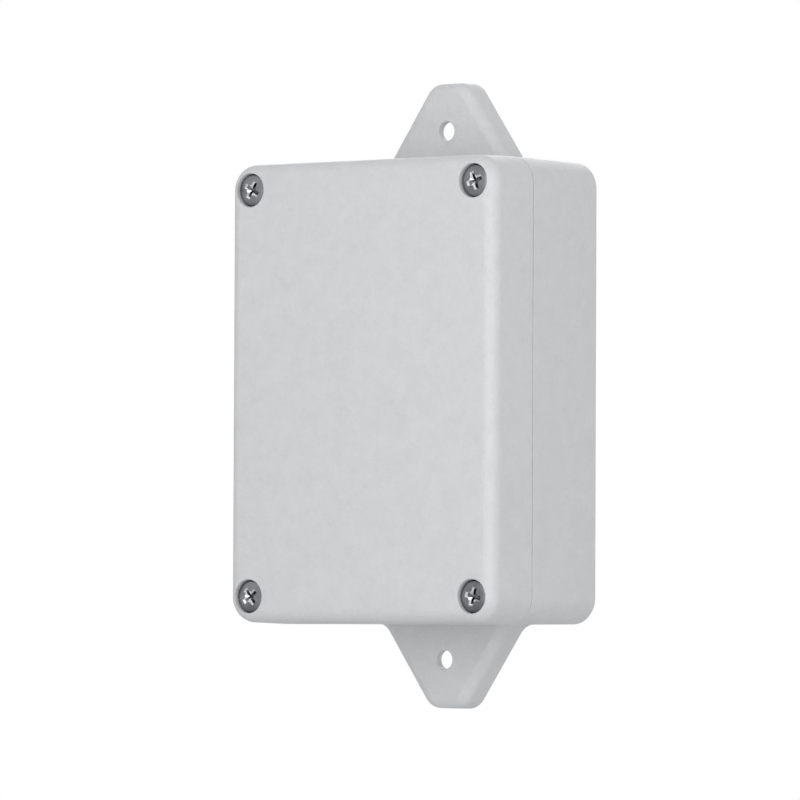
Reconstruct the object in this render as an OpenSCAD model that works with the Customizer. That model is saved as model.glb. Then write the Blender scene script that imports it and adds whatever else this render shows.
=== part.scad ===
// Wall-mounted relay module: a two-shell sealed case with mounting lugs, and the relay board inside it.
// Millimetres. The origin is the centre of the case's flat back, +Z is up and -Y points to the front.

/* [Case] */
// Width of the case
case_w = 75; // [75:0.5:110]
// Height of the case without its lugs
case_h = 105; // [105:0.5:140]
// Depth of the closed case, wall to front face
case_d = 40; // [39:0.5:50]
// Depth of the front lid
lid_d = 15; // [12:0.2:18]
// Radius of the four long corners at the parting line
corner_r = 6.2; // [4.5:0.1:9]
// Radius of the rounded front edge
front_edge_r = 3.2; // [1:0.1:4]
// Radius of the small rounding on the rear edge
rear_edge_r = 0.5; // [0.2:0.1:1]
// Thickness of the side walls, which hold the seal groove
wall_t = 3.2; // [2.8:0.1:3.4]
// Thickness of the back wall
floor_t = 3; // [2.4:0.1:4]
// Thickness of the lid's front wall
lid_face_t = 3; // [2:0.1:3.4]
// Draft of the lid's sides in degrees
lid_draft = 1.2; // [0:0.1:2]
// Draft of the rear housing's sides in degrees
base_draft = 0.6; // [0:0.1:1.5]
// Chamfer on each side of the parting line
seam_chamfer = 0.25; // [0.1:0.05:0.5]

/* [Mounting lugs] */
// Distance from the case end to the tip of a lug
lug_reach = 19.2; // [17:0.2:26]
// Width of a lug where it leaves the case
lug_root_w = 36.2; // [34:0.2:44]
// Slope of a lug's sides from upright, in degrees
lug_slope = 34.5; // [26:0.5:36]
// Depth of a lug from the wall to its front face
lug_d = 7; // [6:0.2:10]
// Thickness of the lug's front wall and sides
lug_wall = 2; // [1.6:0.1:3]
// Radius of the lug's two tip corners
lug_tip_r = 4.7; // [4:0.1:5]
// Rounding of the lug's front edges
lug_edge_r = 2.5; // [0.5:0.1:3]
// Widening of each lug side from its front face to the wall
lug_flare = 0.1; // [0:0.1:1]
// Radius of the fillets between the lugs and the case
lug_fillet_r = 5; // [2:0.2:6]
// Diameter of the lug's screw hole
lug_hole_dia = 4.4; // [3.4:0.1:5.4]
// Distance between the two lug holes
lug_hole_spacing = 121; // [119:0.5:123]

/* [Lid screws and seal] */
// Distance from each case side to the screw axis
screw_inset = 6.2; // [6:0.1:7]
// Diameter of the well that the screw head sits in
well_dia = 7.6; // [7.6:0.1:8.2]
// Depth of the head's top below the front face
head_recess = 0.6; // [0.4:0.1:3]
// Diameter of the screw head
head_dia = 7.2; // [6:0.1:7.2]
// Height of the screw head
head_h = 2.8; // [2.2:0.1:3.4]
// Height of the head's domed top
head_dome = 0.5; // [0.2:0.1:0.8]
// Diameter of the screw shank, taken over its thread
shank_dia = 3.8; // [3:0.1:3.8]
// Length of the shank below the head
shank_len = 18; // [16:0.5:20]
// Width of the cross recess's arms
cross_w = 1.1; // [0.8:0.1:1.4]
// Length of the cross recess from tip to tip
cross_len = 5; // [4:0.1:5.4]
// Depth of the cross recess
cross_depth = 1.7; // [1:0.1:2]
// Outer diameter of the brass inserts
insert_dia = 6; // [5.4:0.1:6.6]
// Length of the brass inserts
insert_len = 8; // [6:0.2:10]
// Width of the seal groove in the lid's rim
groove_w = 1.4; // [1.3:0.1:1.6]
// Depth of the seal groove
groove_depth = 2.4; // [2:0.1:3]
// Thickness of the rubber seal
gasket_t = 1.2; // [0.8:0.1:1.5]

/* [Cable entry] */
// Diameter of the hole in the back wall
entry_dia = 12; // [8:0.5:12]
// Distance from the case's lower end to the centre of the hole
entry_up = 11.8; // [11.2:0.1:12.4]
// Width of the grommet's two flanges around the hole
flange_w = 1.2; // [0.8:0.1:1.4]
// Thickness of the grommet's flanges
flange_t = 0.8; // [0.6:0.1:1.2]
// Thickness of the grommet's closed membrane
membrane_t = 0.7; // [0.5:0.1:1]

/* [Circuit board] */
// Height of the circuit board
board_h = 70; // [69.5:0.1:70.5]
// Thickness of the circuit board
board_t = 1.6; // [1:0.1:2]
// Height of the posts that carry the board
post_h = 5; // [4:0.1:6]
// Diameter of the posts
post_dia = 6.4; // [5.6:0.1:6.8]
// Distance from the board's edges to its screws
board_screw_inset = 4; // [3.6:0.1:4.2]
// Diameter of the board screws
board_screw_dia = 2.9; // [2.2:0.1:3]
// Length of the board screws below their heads
board_screw_len = 6; // [4:0.1:6.4]

/* [Terminals] */
// Distance from one wire clamp to the next
pitch = 5.08; // [5:0.02:5.4]
// Depth of a terminal block along the board
term_l = 8; // [8:0.1:8.6]
// Height of a terminal block
term_h = 10.4; // [10.4:0.1:12]
// Diameter of the wire entries
wire_hole_dia = 3.2; // [2.6:0.1:3.6]
// Travel of a wire clamp from closed to open
clamp_travel = 2; // [1.2:0.1:2]
// Thickness of the clamps' metal
clamp_t = 0.8; // [0.6:0.1:0.9]
// Diameter of the clamp screws
clamp_screw_dia = 2.8; // [2:0.1:2.8]

/* [Relay] */
// Width of the relay
relay_w = 15.5; // [13:0.1:16]
// Length of the relay
relay_l = 19.2; // [19:0.1:19.8]
// Height of the relay
relay_h = 15.4; // [14:0.1:18]
// Thickness of the relay's cover
relay_wall = 0.7; // [0.5:0.05:0.8]
// Thickness of the relay's base plate
relay_base_t = 1.6; // [1.2:0.1:2]
// Thickness of the yoke and the armature
iron_t = 1.1; // [0.9:0.05:1.2]
// Angle that the armature swings through, in degrees
armature_swing = 3.2; // [2:0.1:3.2]
// Diameter of the coil's flanges
coil_dia = 9.4; // [8:0.1:9.6]
// Diameter of the iron core
core_dia = 4; // [3:0.1:4.4]
// Diameter of the contact rivets
rivet_dia = 2.4; // [1.8:0.1:2.4]

/* [Board parts] */
// Width of the transformer block
transformer_w = 30; // [24:0.5:31]
// Length of the transformer block along the case's height
transformer_l = 26; // [22:0.5:27]
// Height of the transformer block
transformer_h = 21; // [16:0.5:22]
// Diameter of the smoothing capacitor
capacitor_dia = 10; // [8:0.5:10]
// Height of the smoothing capacitor
capacitor_h = 16; // [12:0.5:20]
// Diameter of the fuse's glass tube
fuse_dia = 5.2; // [4.8:0.1:5.4]
// Length of the fuse
fuse_len = 20; // [19:0.5:20]
// Height of the fuse's axis above the board
fuse_up = 4.6; // [4:0.1:6]
// Diameter of the varistor's disc
varistor_dia = 9; // [7:0.5:9]
// Width of the radio board
radio_w = 24; // [20:0.5:25]
// Height of the radio board
radio_h = 12; // [10:0.5:12.5]
// Side of the learn switch
switch_side = 6; // [5:0.1:6.4]
// Diameter of the learn button
button_dia = 3.5; // [2.6:0.1:3.6]
// Travel of the learn button
button_travel = 0.25; // [0.15:0.05:0.4]
// Diameter of the status lamp
led_dia = 3; // [3:0.5:5]

/* [Fits] */
// Clearance on each side of pieces that slip over each other
slip = 0.3; // [0.25:0.01:0.35]
// Clearance on each side of a turning or sliding fit
running = 0.1; // [0.05:0.01:0.12]
// Clearance between the board's edge and the walls
board_gap = 0.8; // [0.5:0.05:1]
// Clearance on each side of pieces seated in the same body
seated = 0.03; // [0.02:0.01:0.05]

/* [Hidden] */
$fn = 48;
// A cut runs this far past the face that it opens
over = 0.5;
// Pieces that join inside each other sink in by this much
root = 0.2;

// Levels above the wall: parting line, inside of the lid, seat of the screw heads, board
base_d = case_d - lid_d;
ceiling = case_d - lid_face_t;
head_seat = case_d - head_recess - head_h;
board_back = floor_t + post_h;
board_front = board_back + board_t;

// Lid screws stand inside the case's corners, and the seal passes inside them
screw_x = case_w / 2 - screw_inset;
screw_y = case_h / 2 - screw_inset;
screw_places = [[-screw_x, screw_y], [screw_x, screw_y], [-screw_x, -screw_y], [screw_x, -screw_y]];
screw_turns = [58, 20, 37, 74];
screw_tip = head_seat - shank_len;
screw_spare = 2;
seal_land = (wall_t - groove_w) / 2;
seal_r = well_dia / 2 + seal_land + groove_w / 2;
column_r = seal_r + groove_w / 2 + seal_land;
tongue_w = groove_w - 2 * slip;
tongue_h = groove_depth - gasket_t;

// Mounting lugs
lug_tip = case_h / 2 + lug_reach;
lug_spread = 1 / cos(lug_slope);
lug_pocket_inset = lug_flare + lug_wall;
end_y = case_h / 2 - base_d * tan(base_draft);

// Cable entry in the back wall
entry_y = -case_h / 2 + entry_up;
flange_dia = entry_dia + 2 * flange_w;

// Circuit board, with its top edge under the upper screw columns
board_w = case_w - 2 * wall_t - 2 * board_gap;
board_top = screw_y - column_r - board_gap;
board_bottom = board_top - board_h;
post_x = board_w / 2 - board_screw_inset;
post_places = [for (x = [-post_x, post_x], y = [board_bottom, board_top])
    [x, y + (y < 0 ? board_screw_inset : -board_screw_inset)]];
board_head_dia = 5.4;
board_head_h = 1.8;
board_cross = [2.8, 0.6, 1];

// Sizes of the small parts on the board
lead_dia = 0.6;
leg_pitch = 2.54;
fuse_cap_len = 5;
clip_t = 0.4;
clip_inset = 0.8;
bridge_size = [8, 6.2, 3];
chip_size = [6.2, 9.4, 3];
case_dia = 4.8;
case_tall = 4.8;
case_flat = 1.4;
resistor_dia = 2.3;
resistor_len = 6.3;
resistor_pitch = 3;
diode_dia = 2.7;
diode_len = 5.2;
lead_span = 10;
can_rim = 0.6;
can_groove = [1.6, 1.2, 0.5];
disc_t = 3.6;
disc_up = 1.2;
radio_up = 2.5;
radio_t = 1;
switch_h = 3.5;

// Rows of parts, from the board's lower edge
term_y = board_bottom + 0.4;
fuse_row = board_bottom + 16;
relay_row = board_bottom + 21.5;
transistor_row = board_bottom + 34;
transformer_row = board_bottom + 35.2;
bridge_row = board_bottom + 37;
capacitor_row = board_bottom + 47.5;
top_row = board_bottom + 61;

// Columns: the left and right parts keep to the board's edges, the rest share the room between them
part_margin = 1;
left_x = -board_w / 2 + part_margin;
right_x = board_w / 2 - part_margin;
supply_x = -16.5;
output_x = 12;
way_x = [supply_x - pitch / 2, supply_x + pitch / 2, output_x - pitch, output_x, output_x + pitch];
zone_l = left_x + transformer_w;
zone_r = right_x - 2 * resistor_pitch - resistor_dia;
zone_w = zone_r - zone_l;
capacitor_gap = (zone_w - capacitor_dia - chip_size[0]) / 3;
bridge_gap = (zone_w - bridge_size[0] - case_dia) / 3;
fuse_x = left_x + 3 + fuse_len / 2;
switch_x = right_x - 14.5;

fuse_at = [fuse_x, fuse_row];
varistor_at = [(fuse_x + fuse_len / 2 + output_x - relay_w / 2) / 2, fuse_row];
relay_at = [output_x, relay_row];
diode_at = [right_x - 1 - diode_dia / 2, relay_row];
transistor_at = [right_x - 1 - case_dia / 2, transistor_row];
transformer_at = [left_x + transformer_w / 2, transformer_row];
bridge_at = [zone_l + bridge_gap + bridge_size[0] / 2, bridge_row];
regulator_at = [zone_r - bridge_gap - case_dia / 2, bridge_row];
capacitor_at = [zone_l + capacitor_gap + capacitor_dia / 2, capacitor_row];
controller_at = [zone_r - capacitor_gap - chip_size[0] / 2, capacitor_row];
resistor_at = [zone_r + resistor_dia / 2, capacitor_row];
radio_at = [left_x + 8.5 + radio_w / 2, top_row];
switch_at = [switch_x, top_row];
led_at = [switch_x - 8, top_row];

// Rising-clamp terminal, heights above the board and depths behind the wire face
bar_z = 4.6;
bar_t = 0.8;
bar_w = 2;
cage_w = 3.8;
cage_l = 4.2;
cage_side_t = (cage_w - clamp_screw_dia) / 2 - running;
cage_gap = 0.2;
cage_y = 1.4;
cage_floor_z = bar_z - slip - clamp_t;
cage_lid_z = bar_z + bar_t + clamp_travel + 0.1;
cage_lid_t = 1;
cage_top = cage_lid_z + cage_lid_t;
clamp_head_h = 1.2;
clamp_head_z = cage_top + cage_gap;
clamp_head_dia = 3.6;
clamp_slot_w = 0.6;
slot_turn = 25;
chamber_z = cage_floor_z - clamp_travel - cage_gap;
pin_y = cage_y + cage_l + 0.8;
pin_w = 1;
pin_t = 0.6;
pin_reach = 1.2;
pin_hole_dia = 1.5;
block_gap = 0.04;
block_chamfer = 1;

// Relay, heights above the board and lengths from its centre; the contacts are at its lower end
blade_t = 0.3;
rivet_t = 0.3;
touch_gap = 0.05;
relay_in_l = relay_l / 2 - relay_wall;
relay_in_w = relay_w / 2 - relay_wall;
iron_w = 9;
yoke_toe = 3;
nc_blade_z = relay_h - relay_wall - 0.15 - blade_t;
spring_z = nc_blade_z - 2 * rivet_t - touch_gap - blade_t;
armature_z = spring_z - iron_t;
hinge_y = relay_in_l - running - iron_t / 2;
coil_y = hinge_y - iron_t / 2 - running - coil_dia / 2 - 0.8;
contact_y = -relay_in_l + 2.3;
pole_dia = coil_dia - 3.4;
pole_z = armature_z - (hinge_y - coil_y + pole_dia / 2) * sin(armature_swing) - touch_gap;
no_face_z = spring_z - rivet_t - (hinge_y - contact_y + rivet_dia / 2) * sin(armature_swing) - touch_gap;
pole_t = 0.6;
flange_z = relay_base_t + iron_t;
bobbin_top = pole_z - pole_t;
bobbin_t = 0.8;
barrel_dia = core_dia + 1.4;
winding_dia = coil_dia - 0.6;
blade_w = 2.8;
spring_w = 4.4;
nc_post_y = -relay_in_l + running;
no_post_y = nc_post_y + blade_t + 0.3;
relay_pin_dia = 1;
relay_pin_places = [[-5, 6.6], [5, 6.6], [0, 6.6], [-4.6, -7.4], [4.6, -7.4]];

// Transformer block, its core and its pins
casting_rim = 1;
casting_t = 1.5;
core_up = 1;
core_w = transformer_w - 2 * casting_t;
core_h = transformer_h - core_up - casting_t - casting_rim / 2;
core_leg = core_w / 6;
winding_w = 4 * core_leg - 0.2;
winding_l = transformer_l - 2 * casting_t;
core_stack = winding_l - 2 * core_leg + 0.2;
transformer_pin_inset = 2.5;
transformer_pin_places = [for (x = [-1, 1], y = [-1, 1])
    [x * (transformer_w / 2 - transformer_pin_inset), y * (transformer_l / 2 - transformer_pin_inset)]];

// Turns a piece that is drawn lying on its back to stand against the wall
module standing() rotate([90, 0, 0]) children();

module at_board(place) translate([place[0], place[1], board_front]) children();

// Points on an arc around [cx, cz], from one angle to another
function arc_points(cx, cz, r, from, to, steps) =
    [for (i = [0 : steps]) let (a = from + (to - from) * i / steps) [cx + r * cos(a), cz + r * sin(a)]];

// Places a piece at the axis of each case corner of radius r
module four_corners(r) {
    for (x = [-1, 1], y = [-1, 1])
        translate([x * (case_w / 2 - r), y * (case_h / 2 - r), 0]) children();
}

module base_block() {
    back_r = corner_r - base_d * tan(base_draft);
    hull() four_corners(corner_r) rotate_extrude($fn = 64) polygon(concat(
        [[0, 0]],
        arc_points(back_r - rear_edge_r, rear_edge_r, rear_edge_r, -90, 0, 3),
        [[corner_r, base_d - seam_chamfer], [corner_r - seam_chamfer, base_d], [0, base_d]]));
}

module lid_block() {
    front_r = corner_r - lid_d * tan(lid_draft);
    edge_r = min(front_edge_r, front_r - root);
    hull() four_corners(corner_r) translate([0, 0, base_d]) rotate_extrude($fn = 64) polygon(concat(
        [[0, 0], [corner_r - seam_chamfer, 0], [corner_r, seam_chamfer]],
        arc_points(front_r - edge_r, lid_d - edge_r, edge_r, 0, 90, 8),
        [[0, lid_d]]));
}

// The four case corners outwards of the lid screws, rounded inside to a radius around each screw
module screw_corners(r) {
    for (x = [0, 1], y = [0, 1]) mirror([x, 0]) mirror([0, y]) translate([screw_x, screw_y]) {
        circle(r);
        translate([-r, 0]) square(case_w / 2);
        translate([0, -r]) square(case_w / 2);
    }
}

// The open space of both shells: a rectangle with the four screw columns left standing
module cavity_outline() {
    difference() {
        square([case_w - 2 * wall_t, case_h - 2 * wall_t], center = true);
        screw_corners(column_r);
    }
}

// Closed line of the seal, widened or narrowed on both sides
module seal_outline(grow) {
    difference() {
        square([case_w - wall_t + 2 * grow, case_h - wall_t + 2 * grow], center = true);
        screw_corners(seal_r - grow);
    }
}

module seal_ring(width, height) {
    linear_extrude(height) difference() {
        seal_outline(width / 2);
        seal_outline(-width / 2);
    }
}

// Outline of the upper lug drawn in by inset, from root_y outwards, with its two tip corners round
function lug_points(inset, root_y) =
    let (r = max(lug_tip_r - inset, 0.3),
         half = lug_root_w / 2 - inset * lug_spread,
         edge_x = half - (root_y - case_h / 2) * tan(lug_slope),
         cy = lug_tip - inset - r,
         cx = half - (cy - case_h / 2) * tan(lug_slope) - r * lug_spread,
         right = arc_points(cx, cy, r, lug_slope, 90, 6))
    concat([[edge_x, root_y]], right, [for (i = [len(right) - 1 : -1 : 0]) [-right[i][0], right[i][1]]],
        [[-edge_x, root_y]]);

module lug_slice(z, inset) {
    translate([0, 0, z]) linear_extrude(0.01) polygon(lug_points(inset, case_h / 2 - wall_t + 1));
}

module lug_block() {
    hull() {
        lug_slice(0, 0);
        for (a = [0 : 15 : 90])
            lug_slice(lug_d - lug_edge_r * (1 - sin(a)) - 0.01, lug_flare + lug_edge_r * (1 - cos(a)));
    }
}

// Concave fillets where a lug's sides meet the case, with the lug's rounding along their front
module lug_fillets() {
    foot = lug_root_w / 2 + (case_h / 2 - end_y) * tan(lug_slope) - lug_flare * lug_spread;
    axis = [foot + lug_fillet_r * tan((90 - lug_slope) / 2), end_y + lug_fillet_r];
    out = [cos(lug_slope), sin(lug_slope)];
    deep = lug_edge_r + over;
    for (side = [0, 1]) mirror([side, 0]) difference() {
        linear_extrude(lug_d) polygon([
            [foot - deep * lug_spread - over, end_y - root],
            [axis[0], end_y - root],
            axis,
            axis - (lug_fillet_r + deep) * out]);
        translate(axis) rotate_extrude($fn = 96) polygon(concat(
            [[0, -over], [lug_fillet_r, -over]],
            arc_points(lug_fillet_r + lug_edge_r, lug_d - lug_edge_r, lug_edge_r, 180, 90, 6),
            [[lug_fillet_r + lug_edge_r, lug_d + over], [0, lug_d + over]]));
    }
}

module both_ends() {
    children();
    rotate([0, 0, 180]) children();
}

module rear_housing() color([0.80, 0.81, 0.82]) standing() {
    difference() {
        union() {
            base_block();
            both_ends() {
                lug_block();
                lug_fillets();
            }
            translate([0, 0, base_d - over]) seal_ring(tongue_w, tongue_h + over);
        }
        translate([0, 0, floor_t]) linear_extrude(case_d) cavity_outline();
        both_ends() {
            translate([0, 0, -over]) linear_extrude(lug_d - lug_wall + over)
                polygon(lug_points(lug_pocket_inset, case_h / 2 + root));
            translate([0, lug_hole_spacing / 2, 0]) cylinder(d = lug_hole_dia, h = lug_d + over);
        }
        for (p = screw_places) translate(p) {
            translate([0, 0, base_d - insert_len])
                cylinder(d = insert_dia + 2 * seated, h = insert_len + over);
            translate([0, 0, screw_tip - screw_spare]) cylinder(d = shank_dia + 2 * slip, h = base_d);
        }
        translate([0, entry_y, -over]) {
            cylinder(d = entry_dia, h = floor_t + 2 * over);
            cylinder(d = flange_dia + 2 * slip, h = flange_t + slip + over);
        }
    }
    for (p = post_places) translate([p[0], p[1], floor_t - over]) difference() {
        cylinder(d = post_dia, h = post_h + over);
        translate([0, 0, over]) cylinder(d = board_screw_dia + 2 * seated, h = post_h + over);
    }
}

module brass_inserts() color([0.78, 0.62, 0.30]) standing() {
    for (p = screw_places) translate([p[0], p[1], base_d - insert_len]) difference() {
        cylinder(d = insert_dia, h = insert_len);
        translate([0, 0, -over]) cylinder(d = shank_dia + 2 * running, h = insert_len + 2 * over);
    }
}

module cable_grommet() color([0.12, 0.12, 0.13]) standing() translate([0, entry_y, 0]) {
    neck_r = entry_dia / 2 - seated;
    difference() {
        union() {
            translate([0, 0, slip]) cylinder(d = flange_dia, h = flange_t);
            translate([0, 0, slip]) cylinder(r = neck_r, h = floor_t + flange_t - slip);
            translate([0, 0, floor_t]) cylinder(d = flange_dia, h = flange_t);
        }
        translate([0, 0, slip + membrane_t]) cylinder(r = neck_r - flange_w, h = floor_t + flange_t);
    }
}

module front_lid() color([0.82, 0.83, 0.84]) standing() difference() {
    lid_block();
    translate([0, 0, base_d - over]) linear_extrude(ceiling - base_d + over) cavity_outline();
    translate([0, 0, base_d - over]) seal_ring(groove_w, groove_depth + over);
    for (p = screw_places) translate(p) {
        translate([0, 0, head_seat]) cylinder(d = well_dia, h = case_d);
        translate([0, 0, base_d - over]) cylinder(d = shank_dia + 2 * slip, h = case_d);
    }
}

module lid_gasket() color([0.10, 0.10, 0.11]) standing() {
    translate([0, 0, base_d + tongue_h]) seal_ring(groove_w - 2 * seated, gasket_t);
}

// Head profile: straight side, then a shallow dome
module screw_head(dia, height, dome) {
    dome_r = (dia * dia / 4 + dome * dome) / (2 * dome);
    half_angle = asin(dia / 2 / dome_r);
    rotate_extrude() polygon(concat(
        [[0, 0], [dia / 2, 0]],
        arc_points(0, height - dome_r, dome_r, 90 - half_angle, 90, 6)));
}

module lid_screw(i) color([0.62, 0.63, 0.64]) standing() translate(screw_places[i - 1]) {
    difference() {
        translate([0, 0, head_seat]) screw_head(head_dia, head_h, head_dome);
        for (a = [0, 90]) rotate([0, 0, screw_turns[i - 1] + a])
            translate([-cross_len / 2, -cross_w / 2, head_seat + head_h - cross_depth])
                cube([cross_len, cross_w, cross_depth + over]);
    }
    translate([0, 0, screw_tip]) cylinder(d = shank_dia, h = shank_len);
}

module board_hole(place, dia) translate([place[0], place[1], board_back - over])
    cylinder(d = dia, h = board_t + 2 * over);

module circuit_board() color([0.10, 0.36, 0.20]) standing() difference() {
    translate([-board_w / 2, board_bottom, board_back]) cube([board_w, board_h, board_t]);
    for (p = post_places) board_hole(p, board_screw_dia + 2 * slip);
    for (x = way_x) board_hole([x, term_y + pin_y + pin_t / 2], pin_hole_dia);
    for (p = relay_pin_places) board_hole(relay_at + p, relay_pin_dia + 2 * running);
    for (p = transformer_pin_places) board_hole(transformer_at + p, relay_pin_dia + 2 * running);
}

module board_screws() color([0.66, 0.67, 0.68]) standing() {
    for (p = post_places) translate([p[0], p[1], board_front]) {
        difference() {
            screw_head(board_head_dia, board_head_h, head_dome);
            for (a = [30, 120]) rotate([0, 0, a])
                translate([-board_cross[0] / 2, -board_cross[1] / 2, board_head_h - board_cross[2]])
                    cube(board_cross + [0, 0, over]);
        }
        translate([0, 0, -board_screw_len]) cylinder(d = board_screw_dia, h = board_screw_len);
    }
}

// Section of a terminal block, seen along its row
module block_section() polygon([
    [0, 0], [term_l, 0], [term_l, term_h - block_chamfer], [term_l - block_chamfer, term_h],
    [block_chamfer, term_h], [0, term_h - block_chamfer]]);

// Hollow of one way: the clamp's chamber, the bar's slot, the wire entry and the screw's well
module way_hollow() {
    chamber_w = cage_w + 2 * cage_gap;
    slot_w = bar_w + 2 * running;
    translate([-chamber_w / 2, cage_y - cage_gap, chamber_z])
        cube([chamber_w, cage_l + 2 * cage_gap, cage_top + cage_gap / 2 - chamber_z]);
    translate([-slot_w / 2, cage_y + cage_l - over, -over])
        cube([slot_w, pin_y + pin_t + running - cage_y - cage_l + over, bar_z + bar_t + running + over]);
    translate([0, -over, (cage_floor_z + clamp_t - clamp_travel + bar_z) / 2]) rotate([-90, 0, 0])
        cylinder(d = wire_hole_dia, h = cage_y + over);
    translate([0, cage_y + cage_l / 2, cage_top - over]) cylinder(d = clamp_head_dia + 2 * slip, h = term_h);
}

// Terminal block for the given ways: wire entries below, screw wells in front
module terminal_housing(ways) at_board([0, term_y]) difference() {
    translate([way_x[ways[0]] - pitch / 2, 0, 0]) rotate([90, 0, 90])
        linear_extrude(len(ways) * pitch - block_gap) block_section();
    for (w = ways) translate([way_x[w], 0, 0]) way_hollow();
}

module supply_terminal_housing() color([0.12, 0.45, 0.25]) standing() terminal_housing([0, 1]);

module output_terminal_housing() color([0.12, 0.45, 0.25]) standing() terminal_housing([2, 3, 4]);

module terminal_pins() color([0.80, 0.80, 0.78]) standing() for (x = way_x) at_board([x, term_y]) {
    translate([-bar_w / 2, cage_y, bar_z]) cube([bar_w, pin_y + pin_t - cage_y, bar_t]);
    translate([-pin_w / 2, pin_y, -board_t - pin_reach])
        cube([pin_w, pin_t, board_t + pin_reach + bar_z + bar_t]);
}

module wire_clamp(i) color([0.75, 0.75, 0.72]) standing()
    at_board([way_x[i - 1], term_y + cage_y]) difference() {
        translate([-cage_w / 2, 0, cage_floor_z]) cube([cage_w, cage_l, cage_top - cage_floor_z]);
        translate([-cage_w / 2 + cage_side_t, -over, cage_floor_z + clamp_t])
            cube([cage_w - 2 * cage_side_t, cage_l + 2 * over, cage_lid_z - cage_floor_z - clamp_t]);
        translate([0, cage_l / 2, cage_lid_z - over])
            cylinder(d = clamp_screw_dia + 2 * running, h = cage_lid_t + 2 * over);
    }

module terminal_screw(i) color([0.70, 0.70, 0.68]) standing()
    at_board([way_x[i - 1], term_y + cage_y + cage_l / 2]) difference() {
        union() {
            translate([0, 0, bar_z + bar_t + touch_gap])
                cylinder(d = clamp_screw_dia, h = clamp_head_z - bar_z - bar_t);
            translate([0, 0, clamp_head_z]) cylinder(d = clamp_head_dia, h = clamp_head_h);
        }
        rotate([0, 0, slot_turn * i])
            translate([-clamp_head_dia, -clamp_slot_w / 2, clamp_head_z + clamp_head_h / 2])
                cube([2 * clamp_head_dia, clamp_slot_w, clamp_head_h]);
    }

module on_relay() standing() at_board(relay_at) children();

module relay_base() color([0.16, 0.17, 0.18]) on_relay()
    translate([-relay_in_w + seated, -relay_in_l + seated, 0])
        cube([2 * (relay_in_w - seated), 2 * (relay_in_l - seated), relay_base_t]);

module relay_cover() color([0.70, 0.76, 0.80, 0.4]) on_relay() difference() {
    translate([-relay_w / 2, -relay_l / 2, 0]) cube([relay_w, relay_l, relay_h]);
    translate([-relay_in_w, -relay_in_l, -over])
        cube([2 * relay_in_w, 2 * relay_in_l, relay_h - relay_wall + over]);
}

module relay_pins() color([0.80, 0.80, 0.78]) on_relay()
    for (p = relay_pin_places) translate([p[0], p[1], -board_t - pin_reach])
        cylinder(d = relay_pin_dia, h = board_t + pin_reach);

module coil_bobbin() color([0.85, 0.80, 0.66]) on_relay() translate([0, coil_y, 0]) difference() {
    union() {
        translate([0, 0, flange_z]) cylinder(d = barrel_dia, h = bobbin_top - flange_z);
        translate([0, 0, flange_z]) cylinder(d = coil_dia, h = bobbin_t);
        translate([0, 0, bobbin_top - bobbin_t]) cylinder(d = coil_dia, h = bobbin_t);
    }
    translate([0, 0, flange_z - over])
        cylinder(d = core_dia + 2 * seated, h = bobbin_top - flange_z + 2 * over);
}

module coil_winding() color([0.72, 0.36, 0.16]) on_relay()
    translate([0, coil_y, flange_z + bobbin_t]) difference() {
        cylinder(d = winding_dia, h = bobbin_top - flange_z - 2 * bobbin_t);
        translate([0, 0, -over]) cylinder(d = barrel_dia + 2 * seated, h = bobbin_top - flange_z);
    }

module iron_core() color([0.55, 0.56, 0.58]) on_relay() translate([0, coil_y, 0]) {
    translate([0, 0, flange_z]) cylinder(d = core_dia, h = bobbin_top - flange_z + pole_t / 2);
    translate([0, 0, bobbin_top]) cylinder(d = pole_dia, h = pole_t);
}

module iron_yoke() color([0.58, 0.59, 0.61]) on_relay() {
    translate([-iron_w / 2, coil_y - yoke_toe, relay_base_t])
        cube([iron_w, hinge_y + iron_t / 2 - coil_y + yoke_toe, iron_t]);
    translate([-iron_w / 2, hinge_y - iron_t / 2, relay_base_t])
        cube([iron_w, iron_t, armature_z - running - relay_base_t]);
}

module armature_plate() color([0.60, 0.61, 0.63]) on_relay()
    translate([-iron_w / 2, coil_y - coil_dia / 2 + 0.6, armature_z])
        cube([iron_w, hinge_y + iron_t / 2 - coil_y + coil_dia / 2 - 0.6, iron_t]);

module contact_spring() color([0.76, 0.58, 0.34]) on_relay() {
    translate([-spring_w / 2, contact_y - rivet_dia / 2 - 0.1, spring_z])
        cube([spring_w, hinge_y - 2.4 - contact_y + rivet_dia / 2, blade_t]);
    translate([0, contact_y, spring_z - rivet_t]) cylinder(d = rivet_dia, h = blade_t + 2 * rivet_t);
}

// Fixed contact: a post up from the relay's base, a tongue, and a rivet on one face of it
module fixed_contact(post_y, blade_z, rivet_z) {
    translate([-blade_w / 2, post_y, relay_base_t])
        cube([blade_w, blade_t, blade_z + blade_t - relay_base_t]);
    translate([-blade_w / 2, post_y, blade_z])
        cube([blade_w, contact_y + rivet_dia / 2 + 0.1 - post_y, blade_t]);
    translate([0, contact_y, rivet_z]) cylinder(d = rivet_dia, h = rivet_t + blade_t / 2);
}

module normally_open_contact() color([0.78, 0.62, 0.40]) on_relay()
    fixed_contact(no_post_y, no_face_z - rivet_t - blade_t, no_face_z - rivet_t - blade_t / 2);

module normally_closed_contact() color([0.78, 0.62, 0.40]) on_relay()
    fixed_contact(nc_post_y, nc_blade_z, nc_blade_z - rivet_t);

// Three-legged core of stacked iron sheets, its plane across the case
module transformer_core() color([0.45, 0.46, 0.48]) standing() at_board(transformer_at) difference() {
    translate([-core_w / 2, -core_stack / 2, core_up]) cube([core_w, core_stack, core_h]);
    for (side = [0, 1]) mirror([side, 0]) translate([core_leg, -core_stack, core_up + core_leg])
        cube([core_leg, 2 * core_stack, core_h - 2 * core_leg]);
}

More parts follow.
